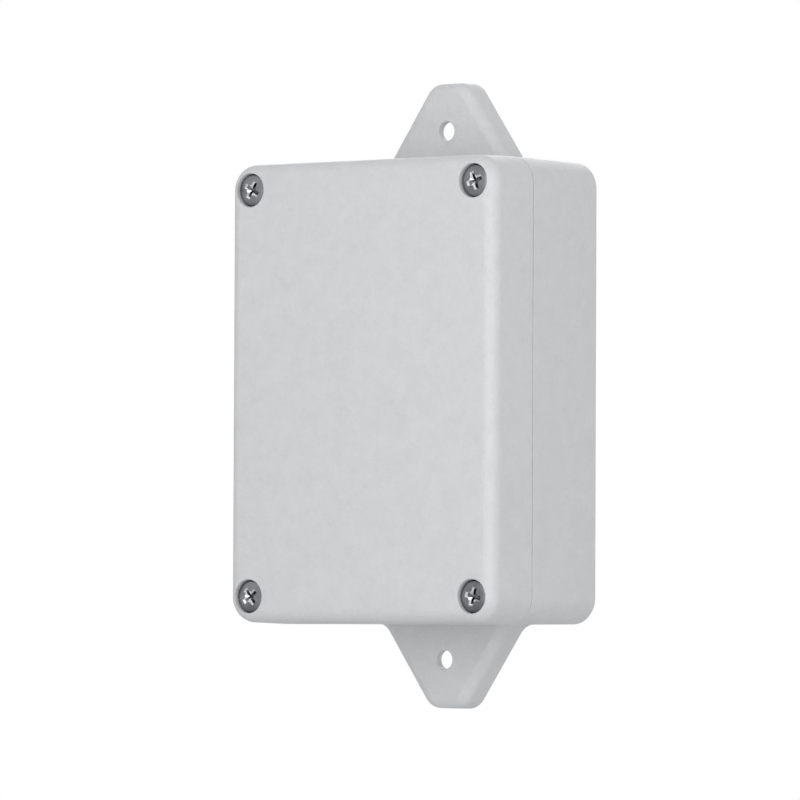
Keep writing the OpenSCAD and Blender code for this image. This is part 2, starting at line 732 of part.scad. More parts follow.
// Copper coil around the core's middle leg
module transformer_winding() color([0.72, 0.36, 0.16]) standing() at_board(transformer_at)
    translate([0, 0, core_up + core_leg + seated]) linear_extrude(core_h - 2 * core_leg - 2 * seated)
        difference() {
            square([winding_w - 2 * seated, winding_l - 2 * seated], center = true);
            square([2 * core_leg + 2 * seated, core_stack + 2 * seated], center = true);
        }

// Cast block around the core and its coil, open below, with a sunk field on its front
module transformer_casting() color([0.09, 0.13, 0.30]) standing() at_board(transformer_at) {
    difference() {
        translate([-transformer_w / 2, -transformer_l / 2, 0])
            cube([transformer_w, transformer_l, transformer_h]);
        translate([0, 0, transformer_h - casting_rim / 2]) linear_extrude(casting_rim)
            square([transformer_w - 2 * casting_rim, transformer_l - 2 * casting_rim], center = true);
        translate([0, 0, -over]) {
            linear_extrude(core_up + core_h + seated + over)
                square([core_w + 2 * seated, core_stack + 2 * seated], center = true);
            linear_extrude(core_up + core_h - core_leg + over)
                square([winding_w, winding_l], center = true);
        }
    }
    for (p = transformer_pin_places) translate([p[0], p[1], -board_t - pin_reach])
        cylinder(d = relay_pin_dia, h = board_t + pin_reach + over);
}

// Runs a piece along the fuse's axis
module along_fuse(from) standing() at_board(fuse_at) translate([from, 0, fuse_up])
    rotate([0, 90, 0]) children();

module fuse_tube() color([0.80, 0.86, 0.86, 0.35]) along_fuse(-fuse_len / 2 + fuse_cap_len)
    cylinder(d = fuse_dia - 0.4, h = fuse_len - 2 * fuse_cap_len);

module fuse_caps() color([0.78, 0.78, 0.76]) for (x = [-fuse_len / 2, fuse_len / 2 - fuse_cap_len])
    along_fuse(x) cylinder(d = fuse_dia, h = fuse_cap_len);

// Spring clips: a split ring around each cap on a foot that stands on the board
module fuse_clips() color([0.74, 0.70, 0.58]) for (side = [0, 1]) {
    clip_len = fuse_cap_len - 2 * clip_inset;
    inner_r = fuse_dia / 2 + seated;
    slit = 1.6 * inner_r;
    foot = 3.6;
    start = fuse_len / 2 - fuse_cap_len + clip_inset;
    standing() at_board(fuse_at) mirror([side, 0]) translate([start, 0, fuse_up])
        difference() {
            union() {
                rotate([0, 90, 0]) cylinder(r = inner_r + clip_t, h = clip_len);
                translate([0, -foot / 2, -fuse_up]) cube([clip_len, foot, fuse_up - inner_r]);
            }
            translate([-over, 0, 0]) rotate([0, 90, 0]) cylinder(r = inner_r, h = clip_len + 2 * over);
            translate([-over, -slit / 2, inner_r / 2]) cube([clip_len + 2 * over, slit, fuse_dia]);
        }
}

// Disc on two leads, standing across the board
module surge_varistor() color([0.15, 0.30, 0.55]) standing() at_board(varistor_at) {
    disc_z = varistor_dia / 2 + disc_up;
    translate([0, disc_t / 2, disc_z]) rotate([90, 0, 0]) cylinder(d = varistor_dia, h = disc_t);
    for (x = [-1, 1]) translate([x * varistor_dia * 0.28, 0, 0]) cylinder(d = 0.8, h = disc_z);
}

// Moulded block on two rows of flat legs that stand along its x sides or its y sides
module dual_row_part(size, legs, turned) {
    lift = lead_dia;
    leg = [lead_dia, lead_dia * 0.7, lift + size[2] / 2];
    row = (legs - 1) * leg_pitch / 2;
    reach = (turned ? size[0] : size[1]) / 2;
    translate([-size[0] / 2, -size[1] / 2, lift]) cube(size);
    rotate([0, 0, turned ? 90 : 0]) for (x = [-row : leg_pitch : row + root], side = [0, 1])
        mirror([0, side]) translate([x - leg[0] / 2, reach, 0]) cube(leg);
}

module bridge_rectifier() color([0.10, 0.10, 0.11]) standing() at_board(bridge_at)
    dual_row_part(bridge_size, 2, false);

module microcontroller() color([0.09, 0.09, 0.10]) standing() at_board(controller_at)
    dual_row_part(chip_size, 4, true);

// Aluminium can in a sleeve, with a rolled groove near its foot
module smoothing_capacitor() color([0.10, 0.14, 0.26]) standing() at_board(capacitor_at) {
    r = capacitor_dia / 2;
    rotate_extrude() polygon([
        [0, 0], [r - can_rim, 0], [r, can_rim], [r, can_groove[0]],
        [r - can_groove[2], can_groove[0] + can_groove[1] / 2], [r, can_groove[0] + can_groove[1]],
        [r, capacitor_h - can_rim], [r - can_rim, capacitor_h], [0, capacitor_h]]);
}

// Half-round plastic body on three legs
module three_leg_part() {
    lift = leg_pitch;
    translate([0, 0, lift]) intersection() {
        cylinder(d = case_dia, h = case_tall);
        translate([-case_dia, -case_flat, 0]) cube([2 * case_dia, case_flat + case_dia, case_tall]);
    }
    for (x = [-1, 0, 1]) translate([x * leg_pitch / 2 - lead_dia / 2, -lead_dia / 2, 0])
        cube([lead_dia, lead_dia, lift + over]);
}

module voltage_regulator() color([0.08, 0.08, 0.09]) standing() at_board(regulator_at) three_leg_part();

module driver_transistor() color([0.08, 0.08, 0.09]) standing() at_board(transistor_at) three_leg_part();

// Cylinder on two bent leads, lying along the board's height
module axial_part(dia, length) {
    lift = dia / 2 + slip;
    translate([0, length / 2, lift]) rotate([90, 0, 0]) cylinder(d = dia, h = length);
    translate([0, (lead_span + lead_dia) / 2, lift]) rotate([90, 0, 0])
        cylinder(d = lead_dia, h = lead_span + lead_dia);
    for (y = [-lead_span / 2, lead_span / 2]) translate([0, y, 0]) cylinder(d = lead_dia, h = lift);
}

module freewheel_diode() color([0.13, 0.13, 0.14]) standing() at_board(diode_at)
    axial_part(diode_dia, diode_len);

module resistors() color([0.78, 0.68, 0.50]) standing()
    for (i = [0 : 2]) at_board(resistor_at + [resistor_pitch * i, 0]) axial_part(resistor_dia, resistor_len);

module radio_header() color([0.10, 0.10, 0.11]) standing() at_board(radio_at - [0, radio_h / 2 - 1.5])
    translate([-radio_w * 0.35, -1.2, 0]) cube([radio_w * 0.7, 2.4, radio_up]);

module radio_board() color([0.10, 0.30, 0.42]) standing() at_board(radio_at)
    translate([-radio_w / 2, -radio_h / 2, radio_up]) cube([radio_w, radio_h, radio_t]);

module radio_shield() color([0.74, 0.75, 0.76]) standing() at_board(radio_at)
    translate([-radio_w * 0.35, -radio_h * 0.2, radio_up + radio_t]) cube([radio_w * 0.5, radio_h * 0.6, 2]);

module status_led() color([0.30, 0.72, 0.35, 0.8]) standing() at_board(led_at) {
    r = led_dia / 2;
    rotate_extrude() polygon(concat([[0, 0], [r + 0.3, 0], [r + 0.3, 1], [r, 1]],
        arc_points(0, 3, r, 0, 90, 8)));
}

module learn_switch_body() color([0.14, 0.14, 0.15]) standing() at_board(switch_at) difference() {
    translate([-switch_side / 2, -switch_side / 2, 0]) cube([switch_side, switch_side, switch_h]);
    translate([0, 0, 1.8]) cylinder(d = button_dia + 2 * running, h = switch_h);
}

module learn_button() color([0.82, 0.20, 0.16]) standing() at_board(switch_at)
    translate([0, 0, 1.9 + button_travel]) cylinder(d = button_dia, h = switch_h - 0.4);

rear_housing();
brass_inserts();
cable_grommet();
front_lid();
lid_gasket();
lid_screw(1);  // lid_screw_1
lid_screw(2);  // lid_screw_2
lid_screw(3);  // lid_screw_3
lid_screw(4);  // lid_screw_4
circuit_board();
board_screws();
supply_terminal_housing();
output_terminal_housing();
terminal_pins();
wire_clamp(1);  // wire_clamp_1
wire_clamp(2);  // wire_clamp_2
wire_clamp(3);  // wire_clamp_3
wire_clamp(4);  // wire_clamp_4
wire_clamp(5);  // wire_clamp_5
terminal_screw(1);  // terminal_screw_1
terminal_screw(2);  // terminal_screw_2
terminal_screw(3);  // terminal_screw_3
terminal_screw(4);  // terminal_screw_4
terminal_screw(5);  // terminal_screw_5
relay_base();
relay_cover();
relay_pins();
coil_bobbin();
coil_winding();
iron_core();
iron_yoke();
armature_plate();
contact_spring();
normally_open_contact();
normally_closed_contact();
transformer_casting();
transformer_core();
transformer_winding();
fuse_tube();
fuse_caps();
fuse_clips();
surge_varistor();
bridge_rectifier();
smoothing_capacitor();
voltage_regulator();
driver_transistor();
freewheel_diode();
resistors();
microcontroller();
radio_board();
radio_header();
radio_shield();
status_led();
learn_switch_body();
learn_button();
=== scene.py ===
"""Relay module: a lugged case for the wall with the relay's board inside."""
import math

import bmesh
import bpy
from mathutils import Matrix, Vector


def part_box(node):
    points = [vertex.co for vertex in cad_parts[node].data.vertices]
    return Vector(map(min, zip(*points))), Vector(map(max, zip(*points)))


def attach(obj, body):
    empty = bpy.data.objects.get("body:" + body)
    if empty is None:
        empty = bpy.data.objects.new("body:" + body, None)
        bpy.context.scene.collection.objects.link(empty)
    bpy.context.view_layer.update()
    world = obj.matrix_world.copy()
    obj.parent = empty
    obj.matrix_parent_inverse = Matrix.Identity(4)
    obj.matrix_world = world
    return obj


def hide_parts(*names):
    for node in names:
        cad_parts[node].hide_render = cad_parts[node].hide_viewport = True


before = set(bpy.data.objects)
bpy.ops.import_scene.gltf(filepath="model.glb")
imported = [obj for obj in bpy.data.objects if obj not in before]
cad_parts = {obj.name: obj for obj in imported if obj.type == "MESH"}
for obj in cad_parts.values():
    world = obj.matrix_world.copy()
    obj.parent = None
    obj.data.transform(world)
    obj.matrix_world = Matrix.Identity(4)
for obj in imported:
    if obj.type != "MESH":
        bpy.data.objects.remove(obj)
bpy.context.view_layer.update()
scene = bpy.context.scene


# Rear housing: a deep tray moulded in pale grey ABS, with a hollow lug at each end for the wall
# screws, posts for the board and a tongue for the seal. It is drawn lying on its back in
# millimetres: x across, y up the case, z out from the wall.
LYING = Matrix(((0.001, 0, 0, 0), (0, 0, -0.001, 0), (0, 0.001, 0, 0), (0, 0, 0, 1)))
CASE_W, CASE_H, CASE_D, SEAM = 75, 105, 40, 25
WALL, FLOOR, CORNER_R, COLUMN_R, HOLLOW_R = 3.2, 3, 6.2, 7, 0.8
BACK_R, BACK_EDGE, RIM_R, MOUTH_R, RIM_EDGE = 6.07, 0.5, 6.197, 6.12, 0.08
SCREW_X, SCREW_Y = CASE_W / 2 - CORNER_R, CASE_H / 2 - CORNER_R
SCREW_PLACES = ((-SCREW_X, SCREW_Y), (SCREW_X, SCREW_Y), (-SCREW_X, -SCREW_Y), (SCREW_X, -SCREW_Y))
LUG_TIP, LUG_HALF, LUG_SLOPE, LUG_D, LUG_TIP_R, LUG_FILLET_R = 71.7, 18.1, 34.5, 7, 4.7, 5
LUG_LEAN = math.radians(LUG_SLOPE)
LUG_TIP_X = (LUG_HALF - (LUG_TIP - LUG_TIP_R - CASE_H / 2) * math.tan(LUG_LEAN)
             - LUG_TIP_R / math.cos(LUG_LEAN))
LUG_WALL, LUG_FACE, LUG_STEP, LUG_ROOT, LUG_HOLE_R, LUG_HOLE_Y = 2.1, 2, 0.1, 3, 2.2, 60.5
LUG_BACK_EDGE, LUG_EDGE_Z, LUG_EDGE_IN, LUG_EDGE_UP = 0.3, 4.5, 3.16, 2.556
END_Y = 52.238
POSTS = ((-29.5, -27.5), (29.5, -27.5), (-29.5, 34.5), (29.5, 34.5))
ENTRY_Y = -40.7


def arc(cx, cy, r, start, end, steps):
    """Points on an arc, from one angle to the other in degrees."""
    angles = [math.radians(start + (end - start) * i / steps) for i in range(steps + 1)]
    return [(cx + r * math.cos(a), cy + r * math.sin(a)) for a in angles]


def rounding(inset, rise, angles):
    """A rounded edge in steps: how far it draws in and how high it stands at each angle."""
    return [(inset * (1 - math.cos(math.radians(a))), rise * math.sin(math.radians(a))) for a in angles]


def case_outline(r):
    """The case's outline with its corners at radius r about the screws' axes."""
    corners = ((SCREW_X, SCREW_Y), (-SCREW_X, SCREW_Y), (-SCREW_X, -SCREW_Y), (SCREW_X, -SCREW_Y))
    return [p for turn, (x, y) in enumerate(corners) for p in arc(x, y, r, 90 * turn, 90 * turn + 90, 24)]


def inner_outline(inset, column):
    """A line inside the case that passes each screw at radius column."""
    x, y = CASE_W / 2 - inset, CASE_H / 2 - inset
    corner = [(x, SCREW_Y - column), *arc(SCREW_X, SCREW_Y, column, 270, 180, 16), (SCREW_X - column, y)]
    back = corner[::-1]
    return (corner + [(-a, b) for a, b in back] + [(-a, -b) for a, b in corner]
            + [(a, -b) for a, b in back])


def eased(outline, r, steps=4):
    """The outline with its sharp corners rounded to radius r."""
    points = []
    for a, b, c in zip(outline[-1:] + outline[:-1], outline, outline[1:] + outline[:1]):
        a, b, c = Vector(a), Vector(b), Vector(c)
        before, after = (a - b).normalized(), (c - b).normalized()
        turn = before.angle(after)
        if turn > math.radians(150):
            points.append(tuple(b))
            continue
        reach = r / math.tan(turn / 2)
        centre = b + (before + after).normalized() * r / math.sin(turn / 2)
        first, last = (b + before * reach - centre) / r, (b + after * reach - centre) / r
        points += [tuple(centre + first.slerp(last, k / steps) * r) for k in range(steps + 1)]
    return points


def lug_outline(inset):
    """Upper lug drawn in by inset, with its fillets to the case and its round tip."""
    foot = LUG_HALF + (CASE_H / 2 - END_Y) * math.tan(LUG_LEAN) - LUG_STEP / math.cos(LUG_LEAN)
    side_x = foot + LUG_FILLET_R * math.tan((math.pi / 2 - LUG_LEAN) / 2)
    right = [(side_x, END_Y - LUG_ROOT),
             *arc(side_x, END_Y + LUG_FILLET_R, LUG_FILLET_R + inset - LUG_STEP, 270, 180 + LUG_SLOPE, 14),
             *arc(LUG_TIP_X, LUG_TIP - LUG_TIP_R, LUG_TIP_R - inset, LUG_SLOPE, 90, 12)]
    return right + [(-x, y) for x, y in reversed(right)]


def pocket_outline(inset):
    """The hollow in the back of the upper lug."""
    root = 0.2
    right = [(LUG_HALF - inset / math.cos(LUG_LEAN) - root * math.tan(LUG_LEAN), CASE_H / 2 + root),
             *arc(LUG_TIP_X, LUG_TIP - LUG_TIP_R, LUG_TIP_R - inset, LUG_SLOPE, 90, 8)]
    return eased(right + [(-x, y) for x, y in reversed(right)], HOLLOW_R)


def loft(layers, closed=False):
    """A skin through outlines of equal counts, each at its height, capped or closed on itself."""
    shape = bmesh.new()
    rings = [[shape.verts.new((x, y, z)) for x, y in outline] for outline, z in layers]
    for low, high in zip(rings, rings[1:] + (rings[:1] if closed else [])):
        for i in range(len(low)):
            j = (i + 1) % len(low)
            shape.faces.new((low[i], low[j], high[j], high[i]))
    if not closed:
        shape.faces.new(rings[0][::-1])
        shape.faces.new(rings[-1])
    return shape


def prism(outline, low, high):
    """A straight solid on an outline."""
    return loft([(outline, low), (outline, high)])


def ring_prism(outer, inner, low, high):
    """A straight ring between two outlines."""
    return loft([(outer, low), (outer, high), (inner, high), (inner, low)], closed=True)


def turned(profile, at=(0, 0), steps=48):
    """A turned solid about an upright axis. A profile that keeps off the axis is a ring."""
    shape = bmesh.new()
    rings = []
    for r, z in profile:
        count = steps if r > 1e-6 else 1
        rings.append([shape.verts.new((at[0] + r * math.cos(2 * math.pi * k / steps),
                                       at[1] + r * math.sin(2 * math.pi * k / steps), z))
                      for k in range(count)])
    for low, high in zip(rings, rings[1:] + (rings[:1] if profile[0][0] > 1e-6 else [])):
        for i in range(steps):
            j = (i + 1) % steps
            corners = (low[i % len(low)], low[j % len(low)], high[j % len(high)], high[i % len(high)])
            shape.faces.new(list(dict.fromkeys(corners)))
    return shape


def together(shapes):
    """One shape of several that don't touch."""
    whole = bmesh.new()
    for shape in shapes:
        part = bpy.data.meshes.new("part")
        shape.to_mesh(part)
        shape.free()
        whole.from_mesh(part)
        bpy.data.meshes.remove(part)
    return whole


def at_other_end(shape):
    """A copy of an end's shape, turned half round to the lower end."""
    other = shape.copy()
    other.transform(Matrix.Rotation(math.pi, 4, "Z"))
    return other


def shaped(base, tool, operation="DIFFERENCE"):
    """The base with the tool's shape taken out of it, or added to it."""
    blanks = []
    for shape in (base, tool):
        mesh = bpy.data.meshes.new("blank")
        shape.to_mesh(mesh)
        shape.free()
        blanks.append(bpy.data.objects.new("blank", mesh))
        scene.collection.objects.link(blanks[-1])
    step = blanks[0].modifiers.new("shaping", "BOOLEAN")
    step.object, step.operation, step.solver = blanks[1], operation, "EXACT"
    result = bmesh.new()
    result.from_object(blanks[0], bpy.context.evaluated_depsgraph_get())
    for blank in blanks:
        mesh = blank.data
        bpy.data.objects.remove(blank)
        bpy.data.meshes.remove(mesh)
    bmesh.ops.remove_doubles(result, verts=result.verts, dist=1e-4)
    bmesh.ops.dissolve_degenerate(result, edges=result.edges, dist=1e-4)
    return result


finishes = {}


def finished(name, body, slot, shape, stands_for=(), crease=35, lying=True, paint=""):
    """Makes a piece in its slot's finish or a paint over it, puts it on its body, and hides the CAD solids it
    stands for.
    """
    if lying:
        shape.transform(LYING)
    mesh = bpy.data.meshes.new(name)
    shape.to_mesh(mesh)
    shape.free()
    mesh.shade_smooth()
    mesh.set_sharp_from_angle(angle=math.radians(crease))
    mesh.materials.append(finishes[paint or slot])
    made = bpy.data.objects.new(name, mesh)
    scene.collection.objects.link(made)
    made.modifiers.new("even_shading", "WEIGHTED_NORMAL").keep_sharp = True
    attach(made, body)
    if stands_for:
        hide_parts(*stands_for)
    return made


def effect_group(name, *extra):
    """A shader group for a surface effect, with its sockets in and out; extra inputs are floats."""
    group = bpy.data.node_groups.new(name, "ShaderNodeTree")
    for label, kind in (("Vector", "Vector"), ("Color", "Color"), ("Other color", "Color"),
                        ("Low roughness", "Float"), ("High roughness", "Float"),
                        *((e, "Float") for e in extra)):
        group.interface.new_socket(label, in_out="INPUT", socket_type="NodeSocket" + kind)
    for label, kind in (("Color", "Color"), ("Roughness", "Float"), ("Height", "Float")):
        group.interface.new_socket(label, in_out="OUTPUT", socket_type="NodeSocket" + kind)
    return group, group.nodes.new("NodeGroupInput").outputs, group.nodes.new("NodeGroupOutput").inputs


def node(tree, kind, inputs=(), **settings):
    """A node with its properties set, each input fed by a socket or set to a value."""
    made = tree.nodes.new(kind)
    for key, value in settings.items():
        setattr(made, key, value)
    for place, source in dict(inputs).items():
        if isinstance(source, bpy.types.NodeSocket):
            tree.links.new(source, made.inputs[place])
        else:
            made.inputs[place].default_value = source
    return made


def noise(tree, vector, scale, detail=3, rough=0.55):
    """A noise texture of that many features a metre."""
    values = {"Vector": vector, "Scale": scale, "Detail": detail, "Roughness": rough}
    return node(tree, "ShaderNodeTexNoise", values).outputs["Fac"]


def spread(tree, source, low, high):
    """Maps the middle of a noise onto low to high."""
    values = {"Value": source, "From Min": 0.3, "From Max": 0.7, "To Min": low, "To Max": high}
    return node(tree, "ShaderNodeMapRange", values).outputs["Result"]


def surface(tree, given, out, share, sheen, height):
    """Ends an effect: its two colours mixed by a share, its roughness spread by a noise, and its height."""
    mix = node(tree, "ShaderNodeMix", {0: share, 6: given["Color"], 7: given["Other color"]},
               data_type="RGBA")
    tree.links.new(mix.outputs[2], out["Color"])
    tree.links.new(spread(tree, sheen, given["Low roughness"], given["High roughness"]), out["Roughness"])
    tree.links.new(height, out["Height"])


# Moulded plastic: spark-eroded grain from the tool, with slow changes of shade and sheen
moulded, given, out = effect_group("moulded_plastic", "Grain")
flow = spread(moulded, noise(moulded, given["Vector"], 220, 5, 0.9), 0, 1)
surface(moulded, given, out, flow, noise(moulded, given["Vector"], 300),
        noise(moulded, given["Vector"], given["Grain"], 2))


def srgb(levels):
    """A colour from its 0 to 255 levels."""
    return (*((v / 255 / 12.92 if v <= 10 else ((v / 255 + 0.055) / 1.055) ** 2.4) for v in levels), 1)


def finish(name, effect, color, other, low, high, depth, extra=(), **shader_values):
    """A material: one effect feeds the shader's colour, roughness and bump, and constants are its own."""
    material = bpy.data.materials.new(name)
    material.use_nodes = True
    tree = material.node_tree
    shader = tree.nodes["Principled BSDF"]
    place = node(tree, "ShaderNodeTexCoord")
    values = {"Vector": place.outputs["Object"], "Color": srgb(color), "Other color": srgb(other),
              "Low roughness": low, "High roughness": high, **dict(extra)}
    group = node(tree, "ShaderNodeGroup", values, node_tree=effect)
    bump = node(tree, "ShaderNodeBump", {
        "Strength": 0.4, "Distance": depth, "Height": group.outputs["Height"]})
    for label, source in (("Base Color", group.outputs["Color"]), ("Roughness", group.outputs["Roughness"]),
                          ("Normal", bump.outputs["Normal"])):
        tree.links.new(source, shader.inputs[label])
    for label, value in shader_values.items():
        shader.inputs[label.replace("_", " ")].default_value = value
    finishes[name] = material


def plastic(name, color, flow_color, low=0.38, high=0.48, grain=2600, depth=0.00004, **shader_values):
    """A moulded plastic in that colour."""
    finish(name, moulded, color, flow_color, low, high, depth, {"Grain": grain}, **shader_values)


plastic("case_plastic", (211, 212, 214), (202, 203, 205), 0.4, 0.52, 1800, 0.0003)

back_edge = rounding(BACK_EDGE, BACK_EDGE, range(90, -1, -15))
tray = loft([(case_outline(BACK_R - inset), BACK_EDGE - up) for inset, up in back_edge]
            + [(case_outline(RIM_R), SEAM - RIM_EDGE), (case_outline(MOUTH_R), SEAM)])
back_edge = rounding(LUG_BACK_EDGE, LUG_BACK_EDGE, (90, 45, 0))
front_edge = rounding(LUG_EDGE_IN, LUG_EDGE_UP, (*range(0, 73, 9), 78))
lug = loft([(lug_outline(inset), LUG_BACK_EDGE - up) for inset, up in back_edge]
           + [(lug_outline(LUG_STEP + inset), LUG_EDGE_Z + up) for inset, up in front_edge])
tray = shaped(tray, together([at_other_end(lug), lug]), "UNION")
pocket = prism(pocket_outline(LUG_WALL), -1, LUG_D - LUG_FACE)
hollows = [prism(eased(inner_outline(WALL, COLUMN_R), HOLLOW_R), FLOOR, SEAM + 5),
           at_other_end(pocket), pocket]
insert_bore = ((0, 15.4), (2.2, 15.4), (2.2, 17), (3.03, 17), (3.03, 24.7), (3.33, 25.05), (3.33, 26),
               (0, 26))
hollows += [turned(insert_bore, place) for place in SCREW_PLACES]
tray = shaped(tray, together(hollows))
lug_hole = turned(((0, -1), (LUG_HOLE_R, -1), (LUG_HOLE_R, 6.8), (2.4, LUG_D), (2.4, 8), (0, 8)),
                  (0, LUG_HOLE_Y))
entry = turned(((0, -1), (7.5, -1), (7.5, 1.1), (6, 1.1), (6, 4), (0, 4)), (0, ENTRY_Y), 64)
tray = shaped(tray, together([at_other_end(lug_hole), lug_hole, entry]))
post = ((0, 2.4), (4, 2.4), (3.6, 3.1), (3.3, 3.8), (3.2, 4.6), (3.2, 7.8), (3, 8), (1.65, 8), (1.48, 7.8),
        (1.48, 3.2), (0, 3.2))
tongue = ring_prism(inner_outline(1.2, 5), inner_outline(2, 5.8), 24.6, 26.2)
tray = shaped(tray, together([*(turned(post, place, 32) for place in POSTS), tongue]), "UNION")
finished("rear_housing_shell", "module", "case_plastic", tray, ["rear_housing"])


# Brass inserts and cable grommet: four knurled bushes, pressed hot into the housing's columns,
# take the lid screws. A black rubber grommet with a closed membrane fills the cable entry in the
# back wall; the fitter pierces it for the cables.
metal, given, out = effect_group("handled_metal")
along = node(metal, "ShaderNodeMapping", {"Vector": given["Vector"], "Scale": (1, 0.15, 1)})
scratch = noise(metal, along.outputs["Vector"], 5200, 2)
surface(metal, given, out, spread(metal, noise(metal, given["Vector"], 220, 4), 0, 1), scratch, scratch)


def plate(name, color, dull_color, low=0.22, high=0.4):
    """A bare or plated metal in that colour."""
    finish(name, metal, color, dull_color, low, high, 0.00001, Metallic=1)


plate("brass", (214, 178, 104), (176, 138, 74))
plastic("seal_rubber", (30, 30, 32), (40, 40, 42), 0.6, 0.75, 1800, 0.00003)

bush_wall = ((2, 17.3), (2.3, 17), (2.75, 17), (3, 17.3), (3, 20.4), (2.7, 20.6), (2.7, 21.4), (3, 21.6),
             (3, 24.7), (2.8, 25), (2.3, 25), (2, 24.7))
KNURL_R, KNURL_DEGREES, KNURL_CUT = 2.95, 5, 0.04
bushes = []
for place in SCREW_PLACES:
    bush = turned(bush_wall, place, 72)
    for vert in bush.verts:
        spoke = Vector((vert.co.x - place[0], vert.co.y - place[1], 0))
        if spoke.length > KNURL_R and round(math.degrees(math.atan2(spoke.y, spoke.x)) / KNURL_DEGREES) % 2:
            vert.co -= spoke * KNURL_CUT
    bushes.append(bush)
finished("threaded_bushes", "module", "brass", together(bushes), ["brass_inserts"], 25)

grommet = ((0, 0.5), (3, 0.5), (3.15, 0.42), (5.3, 0.42), (5.5, 0.3), (6.9, 0.3), (7.2, 0.5), (7.2, 0.9),
           (6.9, 1.1), (5.97, 1.1), (5.97, 3), (6.9, 3), (7.2, 3.2), (7.2, 3.6), (7, 3.8), (5.4, 3.8),
           (5.1, 3.6), (4.77, 1.5), (4.4, 1), (3, 0.95), (1.2, 1.1), (0, 1.1))
finished("entry_grommet", "module", "seal_rubber", turned(grommet, (0, ENTRY_Y), 72), ["cable_grommet"])


# Seal and lid: a deep lid in the same ABS, with a foam rubber cord in its groove that the tray's
# tongue presses. Each corner has a sunk well and a clearance hole for its screw.
SEAL_INSET, SEAL_R, LID_SIDE_R, LID_EDGE, WELL_FLOOR = 1.6, 5.4, 5.886, 3.2, 36.6
cord_line = ((-0.62, 26.3), (0, 26.2), (0.62, 26.3), (0.67, 26.8), (0.62, 27.3), (0, 27.4), (-0.62, 27.3),
             (-0.67, 26.8))
seal_cord = loft([(inner_outline(SEAL_INSET - out_by, SEAL_R - out_by), z) for out_by, z in cord_line],
                 closed=True)
finished("seal_cord", "lid", "seal_rubber", seal_cord, ["lid_gasket"])

lid_edge = rounding(LID_EDGE, LID_EDGE, range(0, 91, 6))
lid = loft([(case_outline(r), SEAM + up) for r, up in ((5.6, 0), (5.6, 0.25), (6.14, 0.27), (CORNER_R, 0.34))]
           + [(case_outline(LID_SIDE_R - inset), CASE_D - LID_EDGE + up) for inset, up in lid_edge])
well = ((0, 24), (2.2, 24), (2.2, WELL_FLOOR), (3.8, WELL_FLOOR), (3.8, 39.7), (3.88, 39.86), (4.05, 40.02),
        (4.05, 41), (0, 41))
groove = ring_prism(inner_outline(0.9, 4.7), inner_outline(2.3, 6.1), 24, 27.4)
lid = shaped(lid, prism(eased(inner_outline(WALL, COLUMN_R), HOLLOW_R), 24, 37))
lid = shaped(lid, together([*(turned(well, place, 64) for place in SCREW_PLACES), groove]))
finished("lid_shell", "lid", "case_plastic", lid, ["front_lid"])


# Lid screws: zinc plated steel with domed heads, each left at its own angle. The upper walls of each
# cross recess are a brighter steel, a painted highlight for glints, and the thread is rolled on the shank.
def shape_tree(name, floats, whole=()):
    """A geometry tree with those inputs and a material, and its input's and output's sockets."""
    tree = bpy.data.node_groups.new(name, "GeometryNodeTree")
    for label, kind in (("Geometry", "Geometry"), *((f, "Float") for f in floats),
                        *((w, "Int") for w in whole), ("Material", "Material")):
        tree.interface.new_socket(label, in_out="INPUT", socket_type="NodeSocket" + kind)
    tree.interface.new_socket("Geometry", in_out="OUTPUT", socket_type="NodeSocketGeometry")
    return tree, tree.nodes.new("NodeGroupInput").outputs, tree.nodes.new("NodeGroupOutput").inputs


def drawn(tree, given, out, line, section):
    """Ends a geometry tree: the section drawn along the line, as real geometry in the given material."""
    solid = node(tree, "GeometryNodeCurveToMesh", {
        "Curve": line.outputs["Curve"], "Profile Curve": section.outputs["Curve"], "Fill Caps": True})
    real = node(tree, "GeometryNodeRealizeInstances", {"Geometry": solid.outputs["Mesh"]})
    painted = node(tree, "GeometryNodeSetMaterial", {
        "Geometry": real.outputs["Geometry"], "Material": given["Material"]})
    tree.links.new(painted.outputs["Geometry"], out["Geometry"])


helix, given, out = shape_tree("wound_wire", ("Turns", "Radius", "Height", "Wire radius"), ("Sides", "Steps"))
drawn(helix, given, out,
      node(helix, "GeometryNodeCurveSpiral", {
          "Resolution": given["Steps"], "Rotations": given["Turns"], "Start Radius": given["Radius"],
          "End Radius": given["Radius"], "Height": given["Height"]}),
      node(helix, "GeometryNodeCurvePrimitiveCircle", {
          "Resolution": given["Sides"], "Radius": given["Wire radius"]}))


def from_nodes(tree, values, start=None):
    """The shape that a geometry tree makes with those values, from nothing or from a start shape."""
    blank = bpy.data.objects.new("blank", bpy.data.meshes.new("blank"))
    if start:
        start.to_mesh(blank.data)
        start.free()
    scene.collection.objects.link(blank)
    step = blank.modifiers.new("tree", "NODES")
    step.node_group = tree
    for item in tree.interface.items_tree:
        if item.in_out == "INPUT" and item.name in values:
            step[item.identifier] = values[item.name]
    made = bpy.data.meshes.new_from_object(blank.evaluated_get(bpy.context.evaluated_depsgraph_get()))
    shape = bmesh.new()
    shape.from_mesh(made)
    mesh = blank.data
    bpy.data.objects.remove(blank)
    for spare in (mesh, made):
        bpy.data.meshes.remove(spare)
    return shape


def wound(slot, at, bottom, height, pitch, radius, wire, sides=4, steps=24):
    """A helix of wire about an upright axis, from the height bottom up."""
    shape = from_nodes(helix, {
        "Turns": height / pitch, "Radius": radius, "Height": height, "Wire radius": wire,
        "Sides": sides, "Steps": steps, "Material": finishes[slot]})
    shape.transform(Matrix.Translation((*at, bottom)))
    return shape


def cross_outline(length, width):
    """The outline of a cross with arms of that length and width."""
    a, b = length / 2, width / 2
    quarter = [(a, -b), (a, b), (b, b)]
    return [p for k in range(4) for p in
            [((x, y), (-y, x), (-x, -y), (y, -x))[k] for x, y in quarter]]


